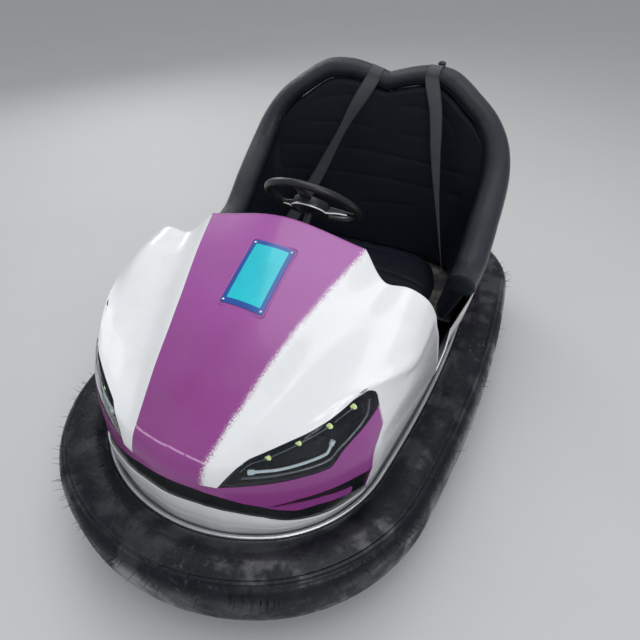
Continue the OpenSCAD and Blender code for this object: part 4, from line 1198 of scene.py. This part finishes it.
def seam_depth(x, z):
    """Depth of the backrest's face at (x, z): a groove at each seam and a soft fall beside it."""
    nearest = np.full(x.shape, 1e9)
    for seam in BACK_SEAMS:
        for (x0, z0), (x1, z1) in zip(seam, seam[1:]):
            dx, dz = x1 - x0, z1 - z0
            t = np.clip(((x - x0) * dx + (z - z0) * dz) / (dx * dx + dz * dz), 0, 1)
            nearest = np.minimum(nearest, np.hypot(x - x0 - t * dx, z - z0 - t * dz))
    return (SEAM_DEPTH * np.exp(-(nearest / SEAM_HALF_W) ** 2)
            + FALL_DEPTH * np.exp(-(nearest / FALL_HALF_W) ** 2))


def build_backrest(cover, panel):
    """Padded back and sides of the tub in one cover, and the plain panel behind it."""
    roll, rows = Roll(8), 110
    foot = smooth([(x, RING_HALF_L - back, DECK_Z + GAP) for x, back in TUB_FLOOR], 8)
    half = []
    for i in range(roll.last, -1, -1):
        top = roll.point(i, ROLL_FLAT * roll.line[i][3] + 4, 6)
        half.append([top + (foot[i] - top) * k / rows for k in range(rows + 1)])
    grid = both_sides(half)
    n, m = grid.shape[:2]
    # the pad gets thinner towards its upper, lower and front edges
    share = np.linspace(0, 1, m)[None, :].repeat(n, 0)
    round_off = np.minimum(1, np.minimum(share * 26 + 0.35, (1 - share) * 18 + 0.2)) ** 0.5
    ends = np.minimum(1, np.minimum(np.arange(n), np.arange(n)[::-1]) / 6 + 0.3)[:, None] ** 0.5
    thick = BACK_PAD_T * round_off * ends
    x, z = grid[..., 0], grid[..., 2]
    quilt = QUILT_RISE * np.sin(np.clip((z - QUILT_LOW) / QUILT_HEIGHT, 0, 1) * math.pi)
    face = offset(grid, thick + quilt - seam_depth(x, z) * np.minimum(1, round_off))
    deck = DECK_Z + GAP
    piece = grid_solid("backrest_cover", lifted(face, deck), lifted(offset(grid, 0.5), deck))
    dress(piece, cover, slot="seat_cover", stands_for=("seat_back",), degrees=60)
    coarse = grid[:, ::10]
    shell = grid_solid("tub_panel", lifted(coarse, deck), lifted(offset(coarse, -TUB_T), deck))
    dress(shell, panel, slot="seat_panel", stands_for=("seat_shell",), degrees=60)


CLOTH_FRAMES, CLOTH_REACH, CLOTH_VOXEL = 20, 0.010, 0.0065
CUSHION_FILL_X, CUSHION_FILL_Y, CUSHION_LIFT = 0.985, 0.97, 0.004  # what the cloth then fills out
CUSHION_WALL, CUSHION_CROWN = 0.70, 0.12  # shares of the height
CUSHION_CORNER, CUSHION_NARROW, CUSHION_SWEEP = 0.035, 0.14, 0.026
CUSHION_SEAM, FRONT_SEAM, FRONT_SEAM_BOW, REAR_SEAM = 0.006, 0.075, 0.012, 0.06


def cushion_block(front, back, half_w, base, top):
    """Slightly thin block of the bench's outline, narrower at the back, with a crowned top."""
    us, vs = np.linspace(-1, 1, 61), np.linspace(-1, 1, 41)
    middle, half_l = (front + back) / 2, (back - front) / 2
    upper, lower = [], []
    for u in us:
        for sheet, rows in ((1, upper), (0, lower)):
            row = []
            for v in vs[::-1]:
                narrow = 1 - CUSHION_NARROW * ((1 + v) / 2) ** 3
                x = u * half_w * CUSHION_FILL_X * (1 - CUSHION_CORNER * abs(v) ** 6) * narrow
                y = middle + v * half_l * CUSHION_FILL_Y * (1 - CUSHION_CORNER * abs(u) ** 6)
                y -= CUSHION_SWEEP * max(0, v) * abs(u) ** 4
                rise = top * CUSHION_WALL * math.sqrt(max(0, (1 - abs(u) ** 8) * (1 - abs(v) ** 8)))
                rise += top * CUSHION_CROWN * (1 - u * u) * (1 - v * v)
                row.append((x / MM, y / MM, (base + (CUSHION_LIFT + rise if sheet else 0.0)) / MM))
            rows.append(row)
    return grid_solid("cushion_cover", np.array(upper), np.array(lower))


def blow_up(pad, base):
    """Cloth under pressure, held to a short reach and flat on its base."""
    apply(pad, "REMESH", mode="VOXEL", voxel_size=CLOTH_VOXEL)
    start = np.array([v.co for v in pad.data.vertices])
    cloth = pad.modifiers.new("cloth", "CLOTH")
    cloth.settings.use_pressure = True
    cloth.settings.uniform_pressure_force = 4
    cloth.settings.effector_weights.gravity = 0
    cloth.point_cache.frame_start, cloth.point_cache.frame_end = 1, CLOTH_FRAMES
    for number in range(1, CLOTH_FRAMES + 1):
        bpy.context.scene.frame_set(number)
    select_only(pad)
    bpy.ops.object.modifier_apply(modifier=cloth.name)
    bpy.context.scene.frame_set(1)
    move = np.array([v.co for v in pad.data.vertices]) - start
    size = np.linalg.norm(move, axis=1, keepdims=True)
    now = start + move * np.minimum(1, CLOTH_REACH / np.maximum(size, 1e-9))
    now[:, 2] = np.maximum(now[:, 2], base)
    now[:, 2] = np.where(start[:, 2] < base + CUSHION_LIFT, start[:, 2], now[:, 2])
    pad.data.vertices.foreach_set("co", now.ravel())


def build_cushion(cover):
    """Bench cushion blown up as cloth, with three seams pressed into its top."""
    low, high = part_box("seat_cushion")
    front, back, base = low.y, high.y, low.z
    top = high.z - base
    pad = cushion_block(front, back, high.x, base, top)
    blow_up(pad, base)
    places = np.array([v.co for v in pad.data.vertices])
    x, y = places[:, 0], places[:, 1]
    dip = np.zeros(len(places))
    # a bowed seam across the front, one along the middle and one across the rear
    for depth, away in ((0.005, y - (front + FRONT_SEAM) - FRONT_SEAM_BOW * np.cos(x * 7)), (0.004, x),
                        (0.003, y - (front + back) / 2 - REAR_SEAM)):
        dip += depth * np.exp(-(away / CUSHION_SEAM) ** 2)
    places[:, 2] -= np.where(places[:, 2] > base + top * 0.45, dip, 0)
    pad.data.vertices.foreach_set("co", places.ravel())
    pad.data.update()
    apply(pad, "SUBSURF", levels=1, render_levels=1)
    dress(pad, cover, slot="seat_cover", stands_for=("seat_cushion",), degrees=60)


# Each belt: where it crosses the roll, its knots from there down to the seat, and its twist at them
BELTS = {"left": (172, [(205, 520, 880), (234, 475, 752), (270, 425, 622), (352, 300, 405)],
                  (-10, -26, -44, -62)),
         "right": (-51, [(-100, 536, 860), (-144, 500, 768), (-214, 446, 612), (-318, 372, 412)],
                   (38, 60, 34, 8))}
BELT_HALF_W, BELT_T, BELT_CROWN, BELT_COLUMNS = 24.5, 1.5, 0.25, 9
UNTWISTED, TURNING = 62, 14  # points along the strap that follow the roll, and that leave it
BELT_FACING = (0, 1, 0.35)
BELT_SPACE_BEHIND, BELT_SPACE_OVER = 0.7, 0.6  # between the strap and the roll's cover


def belt_knots(x, path, line):
    """Knots behind and over the roll and down the path, with the roll's direction where the belt crosses."""
    i = max(k for k in range(len(line) - 1) if line[k][0] > abs(x))
    share = (line[i][0] - abs(x)) / (line[i][0] - line[i + 1][0])
    spot = line[i] + (line[i + 1] - line[i]) * share
    t = line[i][:3] - line[i + 1][:3]
    t /= np.linalg.norm(t)
    centre = spot[:3].copy()
    if x < 0:
        centre[0] *= -1
        t = t * [1, -1, -1]
    ahead = np.cross(t, [0, 0, 1])
    ahead /= np.linalg.norm(ahead)
    above = np.cross(t, -ahead)
    # the strap comes up from behind the roll, where its anchor is
    behind = [centre + (spot[3] + BELT_SPACE_BEHIND) * (-cos(a) * ahead + sin(a) * above)
              for a in (-35, 0, 35)]
    wrap = [centre + (spot[3] + BELT_SPACE_OVER) * (cos(a) * ahead + sin(a) * above)
            for a in (90, 60, 30, 0)]
    return behind + wrap + [np.array(p, float) for p in path], t


def build_belt(side, roll, weave):
    """Strap from behind the roll down to the seat, turning over as it hangs."""
    x, path, twists = BELTS[side]
    knots, t = belt_knots(x, path, roll.line)
    twist = [0] * (len(knots) - len(twists)) + list(twists)
    fine = smooth([(*k, w) for k, w in zip(knots, twist)], 10)
    widths = np.linspace(-1, 1, BELT_COLUMNS)
    top, under, runs = [], [], []
    run = 0.0
    for k, p in enumerate(fine):
        d = fine[min(k + 1, len(fine) - 1)][:3] - fine[max(k - 1, 0)][:3]
        d /= np.linalg.norm(d)
        hold = min(1.0, max(0.0, (k - UNTWISTED) / TURNING))
        face = np.cross(d, BELT_FACING)
        face /= max(np.linalg.norm(face), 1e-6)
        s = t * (1 - hold) + face * hold
        s = s - (s @ d) * d
        s /= np.linalg.norm(s)
        n = np.cross(s, d)
        s, n = s * cos(p[3]) + n * sin(p[3]), n * cos(p[3]) - s * sin(p[3])
        if k:
            run += float(np.linalg.norm(fine[k][:3] - fine[k - 1][:3]))
        top.append([p[:3] + BELT_HALF_W * w * s - n * (BELT_CROWN * w ** 4) for w in widths])
        under.append([p[:3] + BELT_HALF_W * w * s - n * BELT_T for w in widths])
        runs.append(run)
    strap = grid_solid("belt_strap_" + side, np.array(top), np.array(under))
    layer = strap.data.uv_layers.new(name="run")
    middle = (BELT_COLUMNS - 1) // 2
    for loop in strap.data.loops:
        k = loop.vertex_index % (len(top) * BELT_COLUMNS)
        layer.data[loop.index].uv = ((k % BELT_COLUMNS - middle) / middle * BELT_HALF_W * MM,
                                     runs[k // BELT_COLUMNS] * MM)
    dress(strap, weave, slot="belt_webbing", stands_for=("belt_" + side,), degrees=60)


KNOB_R, KNOB_SHAPE, KNOB_X, KNOB_OUT, KNOB_LIFT = 0.011, (1.25, 0.9, 0.8), 178, 14, 0.004


def build_knob(roll, paint):
    """Round-headed pin of the left belt's anchor on the roll's crest."""
    i = max(k for k in range(roll.last) if roll.line[k][0] > KNOB_X)
    crest = roll.point(i, -roll.line[i][3], KNOB_OUT) * MM
    bpy.ops.mesh.primitive_uv_sphere_add(segments=20, ring_count=12, radius=KNOB_R)
    knob = bpy.context.object
    knob.name = knob.data.name = "belt_anchor_knob"
    bpy.ops.object.mode_set(mode="EDIT")
    bpy.ops.mesh.select_all(action="SELECT")
    bpy.ops.transform.resize(value=KNOB_SHAPE)
    bpy.ops.object.mode_set(mode="OBJECT")
    knob.location = Vector(crest) + Vector((0, 0, KNOB_LIFT))
    dress(settle(knob), paint, slot="roll_cover", degrees=60)


# Steering wheel

WHEEL_Z, COLUMN_TILT = 0.745, 45
WHEEL_R, GRIP_R, GRIP_Z, SWELL = 0.142, 0.0112, -0.006, 0.0012
HUB_PAD_R, HUB_PAD_H, HUB_PAD_Z, HUB_STEP = 0.058, 0.030, -0.021, 0.010
SPOKES, SPOKE_SIZE, SPOKE_OUT, SPOKE_Z = (20, 160, 270), (0.104, 0.030, 0.008), 0.084, -0.0095
# wire radius and height of the wheel's edge strip, whose near-white colour is a painted highlight
EDGE_STRIP_HIGHLIGHT_R, EDGE_STRIP_HIGHLIGHT_Z = 2.2, -35


def on_column(obj):
    """Puts an object made about the wheel's centre, +Z towards the driver, into its place."""
    tilt = Matrix.Rotation(-math.radians(COLUMN_TILT), 4, "X")
    obj.matrix_world = Matrix.Translation((0, 0, WHEEL_Z)) @ tilt @ obj.matrix_world
    return settle(obj)


def wheel_grip_ring():
    """Round grip, a little thicker where the two upper spokes meet it."""
    bpy.ops.mesh.primitive_torus_add(major_segments=96, minor_segments=28, major_radius=WHEEL_R,
                                     minor_radius=GRIP_R, location=(0, 0, GRIP_Z))
    rim = bpy.context.object
    rim.name = rim.data.name = "wheel_rim_grip"
    settle(rim)
    places = np.array([v.co for v in rim.data.vertices])
    angle = np.degrees(np.arctan2(places[:, 1], places[:, 0])) % 360
    swell = sum(SWELL * np.exp(-((angle - centre) / 16) ** 2) for centre in SPOKES[:2])
    round_line = np.stack([WHEEL_R * np.cos(np.radians(angle)), WHEEL_R * np.sin(np.radians(angle)),
                           np.full(len(places), GRIP_Z)], 1)
    places += (places - round_line) / GRIP_R * swell[:, None]
    rim.data.vertices.foreach_set("co", places.ravel())
    return rim


def wheel_pad():
    """Round pad with a stepped, bevelled boss on the column's side."""
    bpy.ops.mesh.primitive_cylinder_add(vertices=64, radius=HUB_PAD_R, depth=HUB_PAD_H,
                                        location=(0, 0, HUB_PAD_Z))
    pad = bpy.context.object
    bpy.ops.object.mode_set(mode="EDIT")
    work = bmesh.from_edit_mesh(pad.data)
    for face in work.faces:
        face.select = face.normal.z < -0.9
    bmesh.update_edit_mesh(pad.data)
    bpy.ops.mesh.inset(thickness=0.008)
    bpy.ops.mesh.extrude_region_move(TRANSFORM_OT_translate={"value": (0, 0, -HUB_STEP)})
    bpy.ops.transform.resize(value=(0.62, 0.62, 1))
    bpy.ops.mesh.select_all(action="SELECT")
    bpy.ops.mesh.bevel(offset=0.003, segments=3, affect="EDGES")
    bpy.ops.object.mode_set(mode="OBJECT")
    return settle(pad)


def wheel_spoke(a):
    """Flat spoke, wider and lower at the pad."""
    bpy.ops.mesh.primitive_cube_add(size=1)
    spoke = bpy.context.object
    bpy.ops.object.mode_set(mode="EDIT")
    bpy.ops.mesh.select_all(action="SELECT")
    bpy.ops.transform.resize(value=SPOKE_SIZE)
    bpy.ops.transform.translate(value=(SPOKE_OUT, 0, SPOKE_Z))
    work = bmesh.from_edit_mesh(spoke.data)
    for vert in work.verts:
        if vert.co.x > SPOKE_OUT:
            vert.co.y *= 0.74
            vert.co.z = SPOKE_Z + 0.001 + (vert.co.z - SPOKE_Z) * 0.8
        else:
            vert.co.y *= 1.35
            vert.co.z -= 0.004
    bmesh.update_edit_mesh(spoke.data)
    bpy.ops.mesh.bevel(offset=0.0022, segments=3, affect="EDGES")
    bpy.ops.object.mode_set(mode="OBJECT")
    spoke.rotation_euler = (0, 0, math.radians(a))
    return settle(spoke)


def build_wheel(grip, shroud, silver_and_edge_highlight):
    dress(on_column(wheel_grip_ring()), grip, "steering", "wheel_grip", ("steering_rim",), 60)
    hub = join("wheel_hub_pad", [wheel_pad()] + [wheel_spoke(a) for a in SPOKES])
    dress(on_column(hub), shroud, "steering", "wheel_plastic", ("steering_hub",), 40)
    # bright strip, partly a painted highlight: its near-white colour stands for the light along the curved
    # spoke's forward edge. It runs from the left spoke down round the pad's forward edge and out along the
    # right spoke
    reach = HUB_PAD_R / MM + 1.2
    bow = [(reach * cos(a), reach * sin(a), EDGE_STRIP_HIGHLIGHT_Z) for a in range(195, 346, 15)]
    line = smooth([(-112, 34, -17), (-88, 20, -22)] + bow + [(82, 8, -24), (106, 26, -18)], 4)
    strip = wire("wheel_edge_strip_highlight", line, EDGE_STRIP_HIGHLIGHT_R, 8)
    dress(on_column(strip), silver_and_edge_highlight, "steering", "bright_trim", (), 60)
    rows = np.array([[(x, y, z + 2) for x, y, z in line], [(x * 0.93, y * 0.93, z + 5.5) for x, y, z in line],
                     [(x * 0.6, y * 0.6, -17) for x, y, z in line]])
    blade = grid_solid("wheel_shroud", rows, rows + [0, 0, 3])
    dress(on_column(blade), shroud, "steering", "wheel_plastic", (), 50)


# Rear body

# Each rib: angle round the ring, place along the roll, then (inset, height) down the body
REAR_RIBS = [
    (104, 9, (26, 770), (22, 610), (26, 545), (42, 372), (50, 340)),
    (112, 10, (38, 774), (30, 610), (30, 548), (44, 372), (50, 340)),
    (124, 11, (66, 768), (52, 604), (40, 552), (48, 372), (52, 340)),
    (138, 12, (104, 760), (88, 600), (60, 554), (56, 372), (56, 340)),
    (152, 14, (138, 754), (122, 596), (78, 554), (68, 372), (60, 340)),
    (166, 17, (160, 750), (144, 592), (88, 552), (76, 372), (62, 340)),
    (180, 20, (170, 748), (154, 590), (92, 552), (80, 372), (62, 340))]
RIB_SHARES = (0, 0.10, 0.34, 0.46, 0.78, 0.86, 1)
# Three-fingered lamp on each flank, seen from the side, (y, z) in mm
HAND_OUTLINE = [(458, 350), (492, 336), (520, 342), (545, 372), (512, 360), (502, 368), (556, 408),
                (560, 424), (548, 428), (516, 398), (510, 408), (566, 446), (570, 462), (556, 464),
                (520, 436), (518, 450), (556, 480), (556, 496), (540, 496), (524, 486), (524, 520),
                (532, 545), (512, 520), (482, 430)]


def rear_grid(steps):
    """Surface of the rear body: the sill, the sides under the roll and the tail."""
    roll = Roll(2)
    foot = smooth([(x, RING_HALF_L - back, DECK_Z + GAP) for x, back in TUB_FLOOR], 2)

    def tub_back(i, share):
        top = roll.point(i, ROLL_FLAT * roll.line[i][3] + GAP, 6)
        o = roll.out(i) * [1, 1, 0]
        return top + (foot[i] - top) * share + 9 * o / np.linalg.norm(o)

    def side_rib(a, top_z):
        top, base = ring_xyz(a, 64, top_z), ring_xyz(a, BASE_INSET, RIM_TOP)
        return [top + (base - top) * t for t in RIB_SHARES]

    def roll_rib(i, a):
        r = roll.line[i][3]
        down = 0.62 * r
        top = roll.point(i, down, math.sqrt((r + 1) ** 2 - down * down) + SHELL_T)
        base = ring_xyz(a, BASE_INSET, RIM_TOP)
        return [top + (base - top) * t + [5 * math.sin(math.pi * t), 0, 0] for t in RIB_SHARES]

    ribs = [side_rib(SILL_ANGLE + 0.06, 268), side_rib(90, 270), side_rib(90.9, 280), side_rib(91.3, 330)]
    ribs += [roll_rib(i, a) for i, a in ((0, 91.8), (2, 93.2), (4, 94.8), (6, 96.4), (8, 99))]
    ribs += [[tub_back(r[1], 0.24)] + [ring_xyz(r[0], *r[i]) for i in range(2, 7)]
             + [ring_xyz(r[0], BASE_INSET, RIM_TOP)] for r in REAR_RIBS]
    half = loft(ribs, steps, steps, (1, 3, 4), (3, 4))
    return np.concatenate([half, (half * [-1, 1, 1])[-2::-1]])


FLANK_X, REAR_LAMP_LIFT, REAR_LAMP_T = 0.25, 0.4, 0.0045


def on_flank(spot):
    return spot.x > FLANK_X


def build_rear(paint, lamp_paint):
    """Rear shell and the lamp on each of its flanks."""
    grid = rear_grid(6)
    shell = grid_solid("rear_shell", lifted(grid, RIM_TOP), lifted(offset(grid, -SHELL_T), RIM_TOP))
    dress(shell, paint, slot="body_shell", stands_for=("rear_body",), degrees=32)
    n = len(grid)
    line = metres(HAND_OUTLINE)
    lamp = sheet_of("rear_lamp_left", offset(grid[n // 5:n // 2], REAR_LAMP_LIFT))
    trim_sheet(lamp, [line], SIDE_VIEW, on_flank,
               lambda q, normal: on_flank(q) and inside(line, q.y, q.z))
    apply(lamp, "SOLIDIFY", thickness=REAR_LAMP_T, offset=1)
    twin = mirrored(lamp, "rear_lamp_right")
    dress(lamp, lamp_paint, slot="tail_lamp", stands_for=("tail_lamp_left",))
    dress(twin, lamp_paint, slot="tail_lamp", stands_for=("tail_lamp_right",))


# Dress the solids that stay

def paint_node(name, material):
    obj = NODES[name]
    obj.data.materials.clear()
    obj.data.materials.append(material)


def main():
    photo_camera()
    build_effects()
    front_paint, rear_paint = front_shell_paint(), rear_shell_paint()
    rubber = tyre_rubber()
    bright = plain("bright_trim_metal", (0.62, 0.64, 0.66), 0.24, metal=0.9, spread=0.05, dust=0.35,
                   scuff=0.3, scuff_colour=(0.25, 0.25, 0.25))
    steel = plain("painted_steel", (0.16, 0.17, 0.18), 0.45, metal=0.5, dust=0.5, scuff=0.5,
                  scuff_colour=(0.20, 0.11, 0.07))
    bare = plain("machined_steel", (0.42, 0.43, 0.44), 0.32, metal=1.0, dust=0.3, scuff=0.4)
    floor_mat = plain("floor_sheet_paint", (0.025, 0.026, 0.028), 0.55, dust=0.7, scuff=0.6, grain=0.0006)
    moulded = plain("moulded_black", (0.013, 0.014, 0.016), 0.34, spread=0.2, scuff=0.3, grain=0.00006)
    deep_black = plain("grille_black", (0.006, 0.007, 0.008), 0.30, coat=0.2, dust=0.15, scuff=0.3)
    solid_rubber = plain("wheel_rubber_tread", (0.016, 0.016, 0.017), 0.7, dust=0.6, scuff=0.5, grain=0.0008)
    hair = plain("rubber_hair", (0.004, 0.004, 0.005), 0.7, spread=0.2, Specular_IOR_Level=0.1)
    # near-white silver for the plate screws, and the painted highlight of the wheel's edge strip
    silver_and_edge_highlight = plain("silver_and_painted_highlight", (0.90, 0.91, 0.92), 0.22, metal=0.10, coat=0.5, spread=0.03, scuff=0.1)
    battery = plain("battery_case_plastic", (0.02, 0.022, 0.026), 0.5, dust=0.6, scuff=0.4, grain=0.0003)
    seat_hide = hide("seat_hide", HIDE_BLACK, 0.48, (0.24, 0.30, 0.46), 0.0008, 0.22)
    roll_hide = hide("roll_hide", (0.0025, 0.0068, 0.0135), 0.14, (0.42, 0.52, 0.66), 0.0009, 0.62)
    piping = hide("piping_hide", (0.006, 0.007, 0.009), 0.6, (0.2, 0.2, 0.25), 0.0004)
    tub = plain("tub_panel_plastic", (0.02, 0.021, 0.024), 0.5, dust=0.3, scuff=0.3, grain=0.0003)
    tail = plain("tail_lamp_plastic", (0.56, 0.55, 0.66), 0.2, coat=0.7, spread=0.06)
    bowl_black = plain("lamp_bowl_black", (0.0022, 0.0058, 0.0150), 0.28, spread=0.15, scuff=0.1,
                       Specular_IOR_Level=0.25)
    grid, lamp_line = build_front(front_paint)
    uncut = sheet_of("surface", grid)
    with opened(uncut) as work:
        tree = BVHTree.FromBMesh(work)
    bpy.data.objects.remove(uncut)
    build_lamps(grid, lamp_line, tree, clear_lens(), bowl_black, glow("led_glow", (0.66, 0.78, 0.32), 0.50),
                glow("light_bar_glow", (0.70, 0.78, 0.84), 0.12),
                plain("lamp_liner_grey", (0.16, 0.18, 0.21), 0.3, coat=0.3))
    build_plate(tree, plate_enamel(PLATE_CENTRE, PLATE_SIZE), front_paint, silver_and_edge_highlight)
    edge = [tuple(p + BEAD_SHIFT) for p in grid[:, 0]][CROSS:-CROSS]
    dress(wire("cowl_edge_bead", edge, BEAD_R, 8), front_paint, slot="body_shell", degrees=60)
    build_ring(rubber, bright, hair)
    roll = build_roll(roll_hide, piping)
    build_backrest(seat_hide, tub)
    build_cushion(seat_hide)
    weave = webbing()
    for side in BELTS:
        build_belt(side, roll, weave)
    build_knob(roll, moulded)
    build_wheel(moulded, moulded, silver_and_edge_highlight)
    build_rear(rear_paint, tail)

    for names, material in (
            ("floor_pan toe_board seat_frame", floor_mat),
            ("chassis_rails bumper_rim column_mount rear_bracket_left rear_bracket_right", steel),
            ("turntable_ring accelerator_pedal turntable_plate drive_fork drive_motor", steel),
            ("drive_hub rear_hub_left rear_hub_right", bare), ("steering_shaft", moulded),
            ("grille_panel", deep_black), ("drive_tyre rear_tyre_left rear_tyre_right", solid_rubber),
            ("battery_left battery_right", battery)):
        for name in names.split():
            paint_node(name, material)

    stage()


def stage():
    bpy.ops.mesh.primitive_plane_add(size=30)
    floor = bpy.context.object
    floor.name = "studio_floor"
    p = Paint("studio_floor_paint", Roughness=0.75)
    p.set(Base_Color=p.tint((0.60, 0.60, 0.595), p.group("uneven tone", Scale=1.5, Spread=0.06)))
    floor.data.materials.append(p.mat)
    world = bpy.data.worlds.new("studio")
    bpy.context.scene.world = world
    world.use_nodes = True
    world.node_tree.nodes["Background"].inputs[0].default_value = (0.92, 0.95, 1.0, 1)
    world.node_tree.nodes["Background"].inputs[1].default_value = 0.46
    soft_lamp("overhead", (0.3, 0.2, 4.4), (0, 0, 0.4), (4.4, 3.2), 84)
    soft_lamp("front_left", (3.0, -3.2, 3.0), (0, -0.3, 0.4), (2.6, 2.0), 54)
    soft_lamp("back_right", (-3.4, 2.4, 2.6), (0, 0.2, 0.5), (2.2, 1.6), 38)
    bpy.context.scene.view_settings.view_transform = "Standard"


main()
